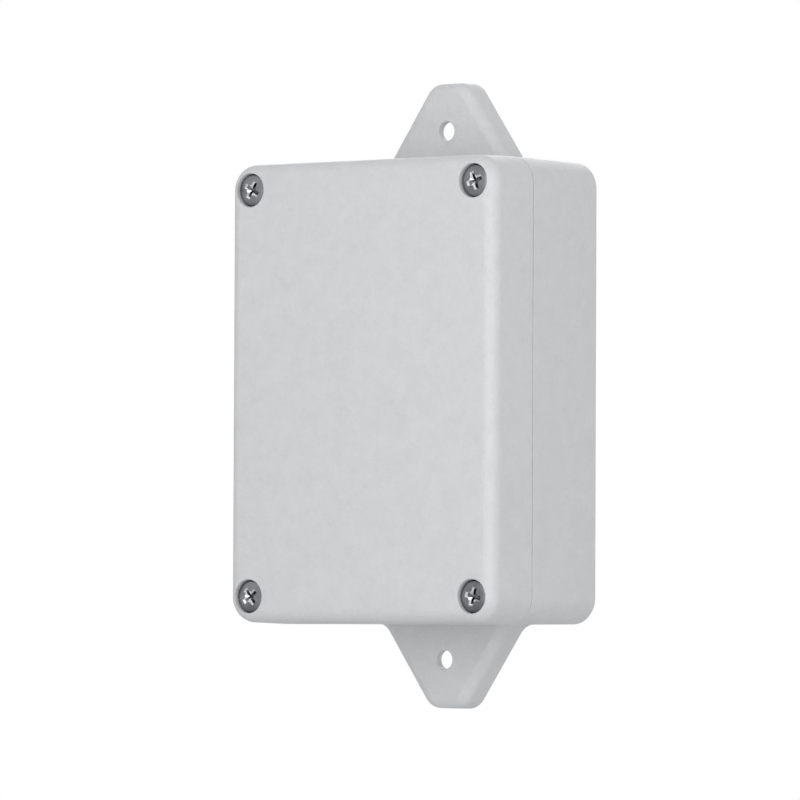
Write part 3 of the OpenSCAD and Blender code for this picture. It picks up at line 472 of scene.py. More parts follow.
def screw_head(radius, height, dome, cross, turn, at, seat):
    """A domed head with a tapered cross recess, its upper walls a painted highlight; cross is length, width,
    depth.
    """
    edge = height - dome
    profile = [(0, 0), (radius - 0.2, 0), (radius, 0.2), (radius, edge - 0.25), (radius - 0.09, edge - 0.06)]
    profile += [(radius - inset, edge + up) for inset, up in rounding(radius, dome, range(18, 90, 12))]
    head = turned([*profile, (0, height)], steps=64)
    length, width, depth = cross
    recess = loft([(cross_outline(length * long, width * wide), height + up) for long, wide, up in (
        (0.3, 0.6, -depth), (0.8, 0.7, -depth * 0.3), (1, 1.45, 0.03), (1, 1.45, 1))])
    recess.transform(Matrix.Rotation(math.radians(turn), 4, "Z"))
    low, mouth_r = height - depth * 0.5, length * 0.3
    mouth = turned(((0, low), (length * 0.08, low), (mouth_r, height + 0.02), (mouth_r, height + 0.9),
                    (0, height + 0.9)), steps=24)
    head = shaped(shaped(head, recess), mouth)
    head.normal_update()
    # Upper sloping walls of the recess take material 1, a bright steel that is a painted highlight for glints
    for face in head.faces:
        middle = face.calc_center_median()
        if middle.xy.length < length / 2 and 0.05 < face.normal.z < 0.97 and middle.z > height - depth * 0.55:
            face.material_index = 1
    head.transform(Matrix.Translation((*at, seat)))
    return head


plate("zinc_steel", (136, 138, 141), (100, 102, 106), 0.2, 0.4)
# Bright steel for the recess walls: a painted highlight
plate("glint_painted_steel", (236, 236, 236), (206, 208, 210), 0.12, 0.3)
SCREW_TURNS, SHANK_R = (58, 20, 37, 74), 1.6
for i, (place, turn) in enumerate(zip(SCREW_PLACES, SCREW_TURNS), 1):
    head = screw_head(3.6, 2.8, dome=0.5, cross=(4.4, 0.95, 1.6), turn=turn, at=place, seat=WELL_FLOOR)
    shank = turned(((0, 18.6), (1.2, 18.6), (SHANK_R, 19.1), (SHANK_R, 36.7), (0, 36.7)), place, 32)
    thread = wound("zinc_steel", place, 19.1, 11, pitch=0.7, radius=SHANK_R, wire=0.2)
    screw = finished(f"lid_screw_{i}_steel", f"lid_screw_{i}", "zinc_steel", together([head, shank, thread]),
                     [f"lid_screw_{i}"], 30)
    # Second material: the painted highlight on the recess walls
    screw.data.materials.append(finishes["glint_painted_steel"])


# Circuit board and its screws: glass laminate under green solder mask, with tracks under the
# mask, tinned pads and white outlines for the parts. Four screws hold it on the housing's posts.
BOARD_W, BOARD_LOW, BOARD_HIGH, BOARD_BACK, BOARD_FRONT = 67, -31.5, 38.5, 8, 9.6
WAY_X = (-19.04, -13.96, 6.92, 12, 17.08)
SCREW_ROW, PIN_ROW = -27.6, -24.4
RELAY, TRANSFORMER, CAPACITOR = (12, -10), (-17.5, 3.7), (6, 16)
CONTROLLER, BRIDGE, REGULATOR, TRANSISTOR = (17.6, 16), (6.13, 5.5), (17.17, 5.5), (29.1, 2.5)
RESISTORS, DIODE = ((25.35, 16), (28.35, 16), (31.35, 16)), (30.15, -10)
FUSE, VARISTOR, RADIO, LAMP, SWITCH = (-19.5, -15.5), (-2.625, -15.5), (-12, 29.5), (10, 29.5), (18, 29.5)
RELAY_PINS = ((-5, 6.6), (5, 6.6), (0, 6.6), (-4.6, -7.4), (4.6, -7.4))
TRANSFORMER_PINS = ((-12.5, -10.5), (-12.5, 10.5), (12.5, -10.5), (12.5, 10.5))
PITCH = 2.54

laminate, given, out = effect_group("woven_laminate")
weft = [node(laminate, "ShaderNodeTexWave", {"Vector": given["Vector"], "Scale": 320}, bands_direction=way)
        for way in ("X", "Z")]
weave = node(laminate, "ShaderNodeMath", {0: weft[0].outputs["Fac"], 1: weft[1].outputs["Fac"]},
             operation="MULTIPLY").outputs[0]
surface(laminate, given, out, weave, noise(laminate, given["Vector"], 400), weave)


def masked(name, color, glass_color):
    """Laminate under solder mask, in the colours between and over its glass threads."""
    finish(name, laminate, color, glass_color, 0.28, 0.4, 0.00001)


masked("board_laminate", (18, 84, 50), (24, 96, 58))
masked("track_mask", (44, 122, 74), (38, 112, 66))
plastic("white_print", (226, 228, 222), (214, 216, 210), 0.5, 0.65)
plate("tinned_metal", (208, 208, 204), (172, 172, 168))
plastic("component_plastic", (26, 26, 28), (34, 34, 36), 0.4, 0.55, 3400, 0.00003)


def about(centre, offsets):
    """Places around a centre."""
    return [(centre[0] + x, centre[1] + y) for x, y in offsets]


def box_outline(width, length, r, at=(0, 0)):
    """A rectangle with round corners."""
    x, y = width / 2 - r, length / 2 - r
    corners = about(at, ((x, y), (-x, y), (-x, -y), (x, -y)))
    return [p for k, (a, b) in enumerate(corners) for p in arc(a, b, r, 90 * k, 90 * k + 90, 4)]


def block(at, width, length, low, high, r=0.3, edge=0.15, foot=0.0):
    """A box with round corners and rounded upper (and lower) edges, in board coordinates."""
    feet = [(-foot, 0)] if not foot else [(-foot, 0), (-foot * 0.3, foot * 0.3), (0, foot)]
    layers = [(grow, low + up) for grow, up in feet]
    layers += [(-inset, high - edge + up) for inset, up in rounding(edge, edge, (0, 30, 60, 90))]
    return loft([(box_outline(width + 2 * grow, length + 2 * grow, max(r + grow, 0.02), at), z)
                 for grow, z in layers])


def disc(at, r, low, high, edge=0.1, steps=32):
    """A low cylinder with a rounded upper edge."""
    return turned(((0, low), (r, low), (r, high - edge), (r - edge * 0.3, high - edge * 0.3),
                   (r - edge, high), (0, high)), at, steps)


UNDER, OVER = 7, 11
holes = [disc(p, 1.75, UNDER, OVER, steps=24) for p in POSTS]
holes += [disc((x, PIN_ROW), 0.75, UNDER, OVER, steps=16) for x in WAY_X]
holes += [disc(p, 0.6, UNDER, OVER, steps=16)
          for p in about(RELAY, RELAY_PINS) + about(TRANSFORMER, TRANSFORMER_PINS)]
board = prism(box_outline(BOARD_W, BOARD_HIGH - BOARD_LOW, 0.6, (0, 3.5)), BOARD_BACK, BOARD_FRONT)
finished("board_sheet", "module", "board_laminate", shaped(board, together(holes)), ["circuit_board"])

strip, given, out = shape_tree("laid_strip", ("Width", "Thickness", "Bend"))
path = node(strip, "GeometryNodeMeshToCurve", {"Mesh": given["Geometry"]})
bends = node(strip, "GeometryNodeFilletCurve", {
    "Curve": path.outputs["Curve"], "Radius": given["Bend"], "Count": 3, "Limit Radius": True}, mode="POLY")
drawn(strip, given, out,
      node(strip, "GeometryNodeSetCurveNormal", {"Curve": bends.outputs["Curve"]}, mode="Z_UP"),
      node(strip, "GeometryNodeCurvePrimitiveQuadrilateral", {
          "Width": given["Width"], "Height": given["Thickness"]}))


def strips(slot, paths, z, width, thickness=0.06, bend=0.4, closed=False):
    """Flat strips laid along paths of points, all at one height."""
    line = bmesh.new()
    for points in paths:
        verts = [line.verts.new((x, y, z)) for x, y in points]
        for a, b in zip(verts, verts[1:] + (verts[:1] if closed else [])):
            line.edges.new((a, b))
    return from_nodes(strip, {
        "Width": width, "Thickness": thickness, "Bend": bend, "Material": finishes[slot]}, line)


MASK_Z, PRINT_Z = BOARD_FRONT + 0.02, BOARD_FRONT + 0.05
mains = [[(-19.04, -24.4), (-19.04, -21), (-27.5, -18)], [(-13.96, -24.4), (-5.1, -20), (-5.1, -15.5)],
         [(-11.5, -15.5), (-9, -11), (-5, -7.5)], [(6.92, -24.4), (7.4, -20.5), (7.4, -17.4)],
         [(12, -24.4), (12, -14), (12, -3.4)], [(17.08, -24.4), (16.6, -20.5), (16.6, -17.4)]]
signals = [[(17, -3.4), (23, -1), (27.8, 2.5)], [(7, -3.4), (7, 1.5)],
           [(30.15, -5), (30.15, -1.5), (29.1, 2.5)],
           [(30.15, -15), (23, -13), (22, -4)], [(25.35, 11), (22, 8), (18.5, 5.5)],
           [(25.35, 21), (22, 22), (21, 19.8)], [(28.35, 11), (27, 7), (27.8, 3.5)],
           [(28.35, 21), (26, 24.5), (15, 26), (11, 28.5)], [(31.35, 21), (31.35, 27), (21.5, 29.5)],
           [(6, 11), (9.5, 9.5), (9.5, 7.5)], [(3.6, 16), (-0.5, 12), (-5, 14.2)],
           [(13.4, 19.8), (12, 22.8), (-5, 23.6)], [(13.4, 17.3), (11.7, 19.2), (10.6, 21.5), (-5, 22.4)],
           [(22, 32), (23.5, 36.9), (-25.5, 36.9), (-27, 30), (-30.5, 20), (-30, 14.2)]]
finished("power_tracks", "module", "board_laminate", strips("track_mask", mains, MASK_Z, 2.2, bend=1.6),
         paint="track_mask")
finished("signal_tracks", "module", "board_laminate", strips("track_mask", signals, MASK_Z, 0.6),
         paint="track_mask")
outlines = [box_outline(w, l, 0.4, at) for at, w, l in (
    (RELAY, 16.6, 20.2), (TRANSFORMER, 31, 27), (CONTROLLER, 9, 10.4), (BRIDGE, 9, 9), (VARISTOR, 10, 4.8),
    (SWITCH, 7.2, 7.2), (RADIO, 25, 13), (FUSE, 21.6, 7), (DIODE, 3.8, 12),
    *((p, 2.8, 12) for p in RESISTORS))]
outlines += [arc(*CAPACITOR, 5.5, 0, 350, 35)]
outlines += [arc(*at, r, 0, 350, 23) for at, r in ((LAMP, 2.3), (REGULATOR, 3), (TRANSISTOR, 3))]
finished("part_outlines", "module", "board_laminate",
         strips("white_print", outlines, PRINT_Z, 0.2, 0.02, 0, True), paint="white_print")
leads = [(x, PIN_ROW) for x in WAY_X] + about(RELAY, RELAY_PINS) + about(TRANSFORMER, TRANSFORMER_PINS)
for part, offsets in (
        *((part, ((0, -5), (0, 5))) for part in (*RESISTORS, DIODE)),
        *((part, [(k * PITCH / 2, 0) for k in (-1, 0, 1)]) for part in (REGULATOR, TRANSISTOR)),
        (CONTROLLER, [(x, k * PITCH / 2) for x in (-3.4, 3.4) for k in (-3, -1, 1, 3)]),
        (BRIDGE, [(k * PITCH / 2, y) for k in (-1, 1) for y in (-3.4, 3.4)]),
        (VARISTOR, ((-2.52, 0), (2.52, 0)))):
    leads += about(part, offsets)
pad = ((0.3, 9.58), (1.05, 9.58), (1.05, 9.66), (0.75, 9.7), (0.45, 9.86), (0.3, 9.86))
finished("solder_pads", "module", "tinned_metal", together([turned(pad, p, 20) for p in leads]))

SCREW_CORE = 1.15
fixings = []
for place in POSTS:
    fixings += [screw_head(2.7, 1.8, dome=0.5, cross=(2.8, 0.6, 1), turn=30 + place[0], at=place,
                           seat=BOARD_FRONT),
                disc(place, SCREW_CORE, 3.6, 9.7, 0.3, 24),
                wound("zinc_steel", place, 3.8, 4.6, pitch=0.9, radius=SCREW_CORE, wire=0.3)]
fixings = finished("board_fixings", "module", "zinc_steel", together(fixings), ["board_screws"], 30)
# Second material: the painted highlight on the screws' recess walls
fixings.data.materials.append(finishes["glint_painted_steel"])


# Terminals: two green blocks of nylon, with a rising steel clamp and a slotted screw for each
# wire. The tinned bars run from the clamps down through the board.
plastic("terminal_plastic", (40, 122, 74), (34, 112, 66), 0.35, 0.5)


def dressed(name, body, slot, solid, bevel=0.15, segments=2):
    """A copy of a CAD solid with its sharp edges broken, which stands for that solid."""
    shape = bmesh.new()
    shape.from_mesh(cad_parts[solid].data)
    bmesh.ops.remove_doubles(shape, verts=shape.verts, dist=1e-7)
    bmesh.ops.dissolve_limit(shape, angle_limit=math.radians(1), verts=shape.verts, edges=shape.edges)
    sharp = [e for e in shape.edges if e.is_manifold and e.calc_face_angle(0) > math.radians(30)]
    bmesh.ops.bevel(shape, geom=sharp, offset=bevel / 1000, segments=segments, profile=0.5, affect="EDGES",
                    clamp_overlap=True)
    return finished(name, body, slot, shape, [solid], 30, lying=False)


for side in ("supply", "output"):
    dressed(f"{side}_terminal_block", "module", "terminal_plastic", f"{side}_terminal_housing", 0.2)
dressed("terminal_bars", "module", "tinned_metal", "terminal_pins", 0.08)
for i, x in enumerate(WAY_X, 1):
    dressed(f"wire_clamp_{i}_steel", f"wire_clamp_{i}", "zinc_steel", f"wire_clamp_{i}", 0.12)
    head = turned(((0, 18.3), (1.7, 18.3), (1.8, 18.4), (1.8, 19.3), (1.72, 19.42), (1.5, 19.5), (0, 19.5)),
                  steps=40)
    slot_cut = prism([(-3, -0.3), (3, -0.3), (3, 0.3), (-3, 0.3)], 18.9, 21)
    slot_cut.transform(Matrix.Rotation(math.radians(25 * i), 4, "Z"))
    head = shaped(head, slot_cut)
    head.transform(Matrix.Translation((x, SCREW_ROW, 0)))
    shank = disc((x, SCREW_ROW), SCREW_CORE, 15.05, 18.4, 0.05)
    thread = wound("zinc_steel", (x, SCREW_ROW), 15.3, 2.9, pitch=0.5, radius=SCREW_CORE, wire=0.22)
    finished(f"terminal_screw_{i}_steel", f"terminal_screw_{i}", "zinc_steel",
             together([head, shank, thread]), [f"terminal_screw_{i}"], 30)


# Relay: a power relay under a clear moulded cover, with a bobbin wound with enamelled copper on
# an iron core, a yoke and a tipping armature, and a change-over contact at its lower end.
plastic("relay_plastic", (38, 40, 44), (44, 46, 50))
plastic("relay_cover_plastic", (206, 216, 224), (198, 210, 218), 0.0, 0.03, 1200, 0.000002,
        Transmission_Weight=0.97, IOR=1.46)
plastic("bobbin_plastic", (222, 212, 180), (214, 204, 170))
plate("copper_wire", (196, 106, 62), (160, 78, 42), 0.25, 0.4)
plate("soft_iron", (156, 158, 162), (124, 126, 130), 0.35, 0.5)
plate("spring_alloy", (210, 164, 100), (180, 134, 76))
for name, slot, solid, bevel in (
        ("relay_foot", "relay_plastic", "relay_base", 0.15),
        ("relay_legs", "tinned_metal", "relay_pins", 0.1),
        ("coil_former", "bobbin_plastic", "coil_bobbin", 0.12),
        ("coil_core", "soft_iron", "iron_core", 0.15),
        ("relay_yoke", "soft_iron", "iron_yoke", 0.15),
        ("open_contact", "spring_alloy", "normally_open_contact", 0.05),
        ("closed_contact", "spring_alloy", "normally_closed_contact", 0.05)):
    dressed(name, "module", slot, solid, bevel)
dressed("tipping_plate", "armature", "soft_iron", "armature_plate", 0.12)
dressed("moving_spring", "armature", "spring_alloy", "contact_spring", 0.05)
outer = block(RELAY, 15.5, 19.2, BOARD_FRONT, BOARD_FRONT + 15.4, 0.9, 0.7)
inner = block(RELAY, 14.1, 17.8, BOARD_FRONT - 1, BOARD_FRONT + 14.7, 0.4, 0.2)
finished("clear_cover", "module", "relay_cover_plastic", shaped(outer, inner), ["relay_cover"])
low, high = (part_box("coil_winding")[k][1] * -1000 for k in (1, 0))
coil_at = (RELAY[0], RELAY[1] + 2.1)
COIL_IN, COIL_OUT, COIL_PITCH = 2.73, 4.2, 0.22
turns = wound("copper_wire", coil_at, low + COIL_PITCH / 2, high - low - COIL_PITCH, pitch=COIL_PITCH,
              radius=COIL_OUT, wire=0.1, sides=5, steps=32)
sleeve = turned(((COIL_IN, low), (COIL_OUT, low), (COIL_OUT, high), (COIL_IN, high)), coil_at)
finished("coil_turns", "module", "copper_wire", together([sleeve, turns]), ["coil_winding"])


# Supply parts: a mains transformer cast in dark blue resin, a glass fuse in spring clips, a
# coated surge varistor, a rectifier bridge, a smoothing capacitor and a voltage regulator.
plastic("casting_resin", (24, 34, 78), (30, 42, 88), 0.3, 0.45, 1400, 0.00004)
dressed("transformer_block", "module", "casting_resin", "transformer_casting", 0.5, 3)
dressed("transformer_iron", "module", "soft_iron", "transformer_core", 0.1)
dressed("transformer_coil", "module", "copper_wire", "transformer_winding", 0.3)

plastic("fuse_glass", (236, 242, 242), (230, 238, 238), 0.02, 0.05, Transmission_Weight=0.97, IOR=1.5)


def lying_along(shape, at, height, axis):
    """Turns an upright shape to lie along the x or y axis, and sets it over its place on the board."""
    turn = Matrix.Rotation(math.pi / 2, 4, "Y") if axis == "x" else Matrix.Rotation(-math.pi / 2, 4, "X")
    shape.transform(Matrix.Translation((*at, BOARD_FRONT + height)) @ turn)
    return shape


FUSE_Z = 4.6
finished("fuse_glass_tube", "module", "fuse_glass",
         lying_along(turned(((2, -5), (2.4, -5), (2.4, 5), (2, 5))), FUSE, FUSE_Z, "x"), ["fuse_tube"])
cap = ((0, 5), (2.5, 5), (2.6, 5.1), (2.6, 9.6), (2.45, 9.9), (2.1, 10), (0, 10))
caps = [turned(cap), turned([(r, -z) for r, z in reversed(cap)])]
finished("fuse_end_caps", "module", "tinned_metal",
         together([lying_along(c, FUSE, FUSE_Z, "x") for c in caps]), ["fuse_caps"])
link = wound("tinned_metal", (0, 0), -5.2, 10.4, pitch=1.3, radius=0.35, wire=0.07, sides=5, steps=12)
finished("fuse_link", "module", "tinned_metal", lying_along(link, FUSE, FUSE_Z, "x"))
dressed("fuse_spring_clips", "module", "spring_alloy", "fuse_clips", 0.06)

plastic("varistor_coating", (36, 78, 144), (30, 66, 126), 0.3, 0.5, 900, 0.00006)
coated = turned(((0, -1.8), (3.2, -1.75), (4.1, -1.5), (4.45, -0.9), (4.5, 0), (4.45, 0.9), (4.1, 1.5),
                 (3.2, 1.75), (0, 1.8)), steps=56)
skirt = ((0, 11), (0.5, 11), (0.75, 12.2), (0.6, 13.4), (0, 13.6))
varistor_leads = about(VARISTOR, ((-2.52, 0), (2.52, 0)))
finished("varistor_disc", "module", "varistor_coating",
         together([lying_along(coated, VARISTOR, 5.7, "y"), *(turned(skirt, p, 16) for p in varistor_leads)]),
         ["surge_varistor"])
finished("varistor_leads", "module", "tinned_metal",
         together([disc(p, 0.4, BOARD_FRONT, 12, 0.05, 16) for p in varistor_leads]))


def chip(name, solid, at, width, length, legs, upright):
    """A moulded package on two rows of bent legs, with a notch and a dot at its first leg."""
    low = BOARD_FRONT + 0.6
    body = block(at, width, length, low, low + 3, 0.15, 0.12, 0.12)
    marks = [turned(((0, low + 2.85), (0.35, low + 2.85), (0.4, low + 4), (0, low + 4)),
                    (at[0] - width / 2 + 1.1, at[1] + length / 2 - 1.1), 20)]
    if upright:
        marks.append(turned(((0, low + 2.7), (0.8, low + 2.7), (0.8, low + 4), (0, low + 4)),
                            (at[0], at[1] + length / 2), 24))
    finished(name, "module", "component_plastic", shaped(body, together(marks)), [solid])
    pins = []
    for k in range(legs):
        step = (k - (legs - 1) / 2) * PITCH
        for side in (-1, 1):
            reach = (width if upright else length) / 2 + 0.2
            over, up = (side * reach, step) if upright else (step, side * reach)
            place = (at[0] + over, at[1] + up)
            wide, deep = (0.42, 1.2) if upright else (1.2, 0.42)
            thin = (0.42, 0.6) if upright else (0.6, 0.42)
            pins += [block(place, wide, deep, low + 0.9, low + 1.6, 0.05, 0.05),
                     block(place, *thin, BOARD_FRONT, low + 1, 0.05, 0.02)]
    finished(name + "_legs", "module", "tinned_metal", together(pins))


chip("rectifier_package", "bridge_rectifier", BRIDGE, 8, 6.2, 2, False)

plastic("can_aluminium", (22, 32, 64), (26, 38, 72), 0.22, 0.34, 1600, 0.00002)
can_wall = ((0, BOARD_FRONT), (4.3, BOARD_FRONT), (4.8, 9.9), (5, 10.4), (5, 11.2), (4.85, 11.6),
            (4.55, 11.8), (4.85, 12), (5, 12.4), (5, 25), (4.85, 25.4), (4.4, 25.6), (4.1, 25.5), (0, 25.5))
finished("capacitor_sleeve", "module", "can_aluminium", turned(can_wall, CAPACITOR, 64),
         ["smoothing_capacitor"])
top = disc(CAPACITOR, 4.1, 25.4, 25.58, 0.03, 48)
vent = prism(cross_outline(5.6, 0.3), 25.5, 26)
vent.transform(Matrix.Translation((*CAPACITOR, 0)) @ Matrix.Rotation(math.radians(20), 4, "Z"))
finished("capacitor_top", "module", "tinned_metal", shaped(top, vent))
band = arc(*CAPACITOR, 5.02, 205, 245, 8) + arc(*CAPACITOR, 4.9, 245, 205, 8)
finished("capacitor_stripe", "module", "can_aluminium", prism(band, 12.6, 24.8), paint="white_print")


def three_leg(name, solid, at):
    """A half-round transistor package on three legs."""
    outline = eased(arc(*at, 2.4, -35.7, 215.7, 24), 0.25)
    low = BOARD_FRONT + PITCH
    top = [(at[0] + (x - at[0]) * 0.94, at[1] + (y - at[1]) * 0.94) for x, y in outline]
    finished(name, "module", "component_plastic",
             loft([(outline, low), (outline, low + 4.6), (top, low + 4.8)]), [solid])
    finished(name + "_legs", "module", "tinned_metal",
             together([block(p, 0.5, 0.4, BOARD_FRONT, low + 0.2, 0.05, 0.02)
                       for p in about(at, ((-PITCH / 2, 0), (0, 0), (PITCH / 2, 0)))]))


three_leg("regulator_package", "voltage_regulator", REGULATOR)


# Control parts: a controller, the relay's driver with its free-wheel diode, resistors with
# colour bands, the radio board under a tinned shield, a status lamp and a learn switch.
chip("controller_package", "microcontroller", CONTROLLER, 6.2, 9.4, 4, True)
three_leg("driver_package", "driver_transistor", TRANSISTOR)


def axial(name, slot, solid, places, profile, bands, lift):
    """Parts with bent leads that lie along the board's height; bands are (place along, radius, slot)."""
    finished(name, "module", slot,
             together([lying_along(turned(profile, steps=32), p, lift, "y") for p in places]), [solid])
    for k, (along, r, paint) in enumerate(bands, 1):
        low, high = along - 0.28, along + 0.28
        ring = ((r - 0.1, low), (r, low), (r, high), (r - 0.1, high))
        rings = [lying_along(turned(ring, steps=32), p, lift, "y") for p in places]
        finished(f"{name}_band_{k}", "module", slot, together(rings), paint=paint)
    wires = []
    for x, y in places:
        wire = turned(((0, 0), (0.3, 0), (0.3, 9.4), (0, 9.4)), steps=12)
        wires.append(lying_along(wire, (x, y - 4.7), lift, "y"))
        wires += [disc((x, y + side), 0.3, BOARD_FRONT, BOARD_FRONT + lift, 0.25, 12)
                  for side in (-4.85, 4.85)]
    finished(name + "_leads", "module", "tinned_metal", together(wires))


plastic("resistor_coating", (208, 182, 134), (198, 172, 124))
for name, shade in (("brown_band", (92, 52, 30)), ("black_band", (24, 22, 22)), ("red_band", (170, 38, 30)),
                    ("gold_band", (176, 136, 62))):
    plastic(name, shade, shade, 0.35, 0.45)
axial("diode_body", "component_plastic", "freewheel_diode", [DIODE],
      ((0, -2.6), (1.25, -2.6), (1.35, -2.5), (1.35, 2.5), (1.25, 2.6), (0, 2.6)),
      [(1.8, 1.38, "white_print")], lift=1.65)
axial("resistor_bodies", "resistor_coating", "resistors", RESISTORS,
      ((0, -3.15), (0.6, -3.1), (1.05, -2.8), (1.15, -2.3), (1.1, -1.8), (0.95, -1.5), (0.95, 1.5),
       (1.1, 1.8), (1.15, 2.3), (1.05, 2.8), (0.6, 3.1), (0, 3.15)),
      [(-2.3, 1.17, "brown_band"), (-0.8, 0.97, "black_band"), (0.2, 0.97, "red_band"),
       (2.3, 1.17, "gold_band")],
      lift=1.45)

masked("radio_laminate", (20, 60, 98), (26, 70, 110))
RADIO_LOW, RADIO_TOP = BOARD_FRONT + 2.5, BOARD_FRONT + 3.5
finished("radio_sheet", "module", "radio_laminate",
         prism(box_outline(24, 12, 0.5, RADIO), RADIO_LOW, RADIO_TOP), ["radio_board"])
aerial = about(RADIO, [(5.4 + 1.1 * (k // 2), 4 if (k + 1) // 2 % 2 else -3.4) for k in range(10)])
finished("printed_aerial", "module", "tinned_metal",
         strips("tinned_metal", [aerial], RADIO_TOP + 0.02, 0.45, 0.05, 0.2))
can = block((RADIO[0] - 2.4, RADIO[1] + 1.2), 12, 7.2, RADIO_TOP, RADIO_TOP + 2, 0.6, 0.3)
vents = [disc(p, 0.35, RADIO_TOP + 0.6, RADIO_TOP + 3, steps=16)
         for p in about(RADIO, [(-7 + 2.3 * k, 1.2) for k in range(5)])]
finished("radio_shield_can", "module", "tinned_metal", shaped(can, together(vents)), ["radio_shield"])
dressed("header_strip", "module", "component_plastic", "radio_header", 0.15)
finished("header_pins", "module", "tinned_metal",
         together([block(p, 0.64, 0.64, RADIO_TOP - 0.1, RADIO_TOP + 0.7, 0.05, 0.15)
                   for p in about(RADIO, [(-7.62 + PITCH * k, -4.5) for k in range(7)])]))

plastic("led_plastic", (96, 196, 106), (88, 186, 98), 0.08, 0.16, 1200, 0.00001, Transmission_Weight=0.55)
dome = [(1.5 - inset, 12.6 + up) for inset, up in rounding(1.5, 1.5, range(0, 90, 10))]
bulb = [(0, BOARD_FRONT), (1.75, BOARD_FRONT), (1.8, 9.65), (1.8, 10.55), (1.75, 10.6), (1.5, 10.6), *dome,
        (0, 14.1)]
finished("lamp_lens", "module", "led_plastic", turned(bulb, LAMP, 40), ["status_led"])

plastic("button_plastic", (196, 52, 40), (186, 46, 36))
body = block(SWITCH, 6, 6, BOARD_FRONT, BOARD_FRONT + 3.1, 0.4, 0.1)
body = shaped(body, disc(SWITCH, 1.85, BOARD_FRONT + 1.8, BOARD_FRONT + 5, steps=40))
finished("switch_case", "module", "component_plastic", body, ["learn_switch_body"])
cover = prism(box_outline(5.9, 5.9, 0.4, SWITCH), BOARD_FRONT + 3.05, BOARD_FRONT + 3.4)
cover = shaped(cover, disc(SWITCH, 1.95, BOARD_FRONT + 2, BOARD_FRONT + 5, steps=40))
studs = [disc(p, 0.4, BOARD_FRONT + 3.3, BOARD_FRONT + 3.5, 0.1, 16)
         for p in about(SWITCH, ((-2.3, -2.3), (-2.3, 2.3), (2.3, -2.3), (2.3, 2.3)))]
finished("switch_plate", "module", "tinned_metal", together([cover, *studs]))
button = ((0, 11.75), (1.7, 11.75), (1.75, 11.8), (1.75, 14.5), (1.65, 14.75), (1.4, 14.85), (1.2, 14.8),
          (0, 14.75))
finished("button_cap", "learn_button", "button_plastic", turned(button, SWITCH, 48), ["learn_button"])


# Floor, lamps and camera: a pale round floor under the module that fades into a white room, four
# soft lamps in front, above, on the right and behind, and the long lens of the photograph.
FLOOR_R, FLOOR_Z = 1.2, -0.132
round_floor = bmesh.new()
bmesh.ops.create_circle(round_floor, cap_ends=True, segments=96, radius=FLOOR_R)
round_floor.transform(Matrix.Translation((0, 0, FLOOR_Z)))
floor_mesh = bpy.data.meshes.new("floor")
round_floor.to_mesh(floor_mesh)
round_floor.free()
floor = bpy.data.objects.new("floor", floor_mesh)
scene.collection.objects.link(floor)
pale = bpy.data.materials.new("pale_floor")
pale.use_nodes = True
tree = pale.node_tree
matt = tree.nodes["Principled BSDF"]
matt.inputs["Base Color"].default_value = (0.8, 0.8, 0.8, 1)
matt.inputs["Roughness"].default_value = 0.9
matt.inputs["Emission Color"].default_value = (1, 1, 1, 1)
rays = node(tree, "ShaderNodeLightPath").outputs
glow = node(tree, "ShaderNodeMath", {0: rays["Is Camera Ray"], 1: 0.25}, operation="MULTIPLY")
tree.links.new(glow.outputs[0], matt.inputs["Emission Strength"])
place = node(tree, "ShaderNodeTexCoord")
far = node(tree, "ShaderNodeVectorMath", {0: place.outputs["Object"]}, operation="LENGTH")
fade = node(tree, "ShaderNodeMapRange", {"Value": far.outputs["Value"], "From Min": 0.25, "From Max": 1.1},
            interpolation_type="SMOOTHSTEP")
clear = node(tree, "ShaderNodeBsdfTransparent")
mix = node(tree, "ShaderNodeMixShader", {
    0: fade.outputs["Result"], 1: matt.outputs[0], 2: clear.outputs[0]})
tree.links.new(mix.outputs[0], tree.nodes["Material Output"].inputs["Surface"])
floor_mesh.materials.append(pale)

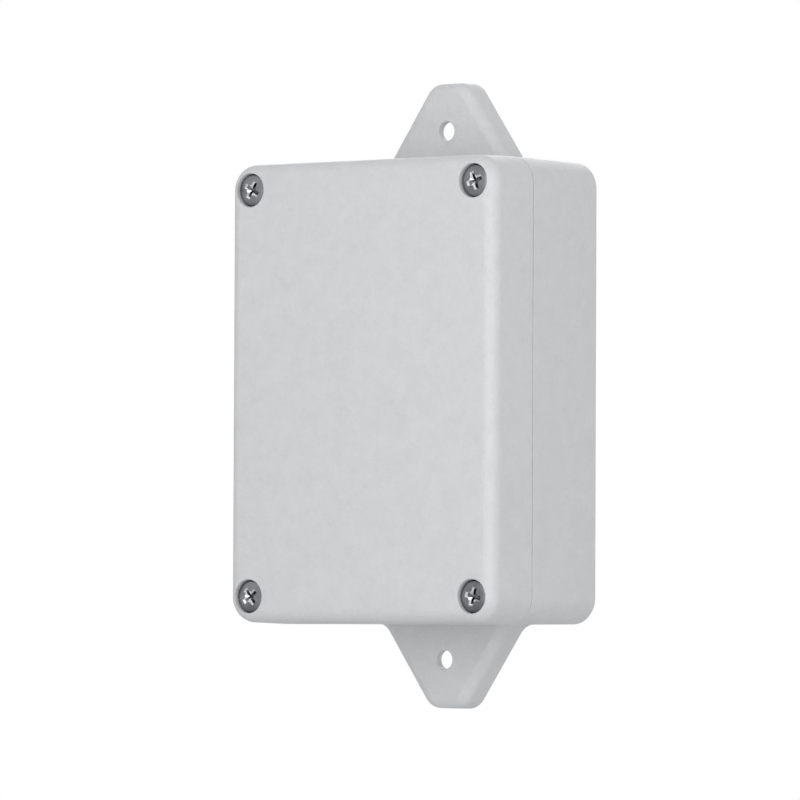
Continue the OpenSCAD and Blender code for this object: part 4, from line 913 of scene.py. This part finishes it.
AMBIENT = 0.57
world = bpy.data.worlds.new("white_room")
scene.world = world
world.use_nodes = True
tree = world.node_tree
room = tree.nodes["Background"]
room.inputs["Color"].default_value = (1, 1, 1, 1)
rays = node(tree, "ShaderNodeLightPath").outputs
seen = rays["Is Camera Ray"]
for ray in ("Is Glossy Ray", "Is Transmission Ray"):
    seen = node(tree, "ShaderNodeMath", {0: seen, 1: rays[ray]}, operation="MAXIMUM").outputs[0]
level = node(tree, "ShaderNodeMapRange", {"Value": seen, "To Min": AMBIENT, "To Max": 1})
tree.links.new(level.outputs["Result"], room.inputs["Strength"])

MIDDLE = Vector((0, -0.02, 0))


def direction(azimuth, elevation):
    """The way out from the module in degrees; azimuth 0 is in front, 90 on the right."""
    a, e = math.radians(azimuth), math.radians(elevation)
    return Vector((math.sin(a) * math.cos(e), -math.cos(a) * math.cos(e), math.sin(e)))


def soft_lamp(name, azimuth, elevation, distance, size, power):
    """A square lamp that faces the module from that side."""
    lamp = bpy.data.lights.new(name, "AREA")
    lamp.shape, lamp.size, lamp.energy = "SQUARE", size, power
    stand = bpy.data.objects.new(name, lamp)
    scene.collection.objects.link(stand)
    way = direction(azimuth, elevation)
    stand.location = MIDDLE + way * distance
    stand.rotation_euler = way.to_track_quat("Z", "Y").to_euler()


soft_lamp("front_lamp", 14, 0, 0.8, 0.6, 1.15)
soft_lamp("upper_lamp", 20, 40, 0.8, 0.6, 0.5)
soft_lamp("key_lamp", 44, 0, 0.62, 0.5, 1.5)
soft_lamp("rear_lamp", 205, 25, 0.9, 0.6, 1.7)

scene.view_settings.view_transform = "Standard"
AZIMUTH, ELEVATION, ROLL = 36.46, -1.98, math.radians(0.24)
DISTANCE, SIDE_STEP, LIFT, FOCAL_LENGTH = 1.546, -0.00261, -0.00151, 306.04
lens = bpy.data.cameras.new("long_lens")
lens.sensor_fit, lens.sensor_width, lens.lens, lens.clip_end = "HORIZONTAL", 36, FOCAL_LENGTH, 100
camera = bpy.data.objects.new("camera", lens)
scene.collection.objects.link(camera)
back, level_right = direction(AZIMUTH, ELEVATION), direction(AZIMUTH + 90, 0)
level_up = back.cross(level_right)
right = math.cos(ROLL) * level_right + math.sin(ROLL) * level_up
up = -math.sin(ROLL) * level_right + math.cos(ROLL) * level_up
camera.matrix_world = Matrix.Translation(MIDDLE + back * DISTANCE + right * SIDE_STEP + up * LIFT) @ Matrix(
    (right, up, back)).transposed().to_4x4()
scene.camera = camera
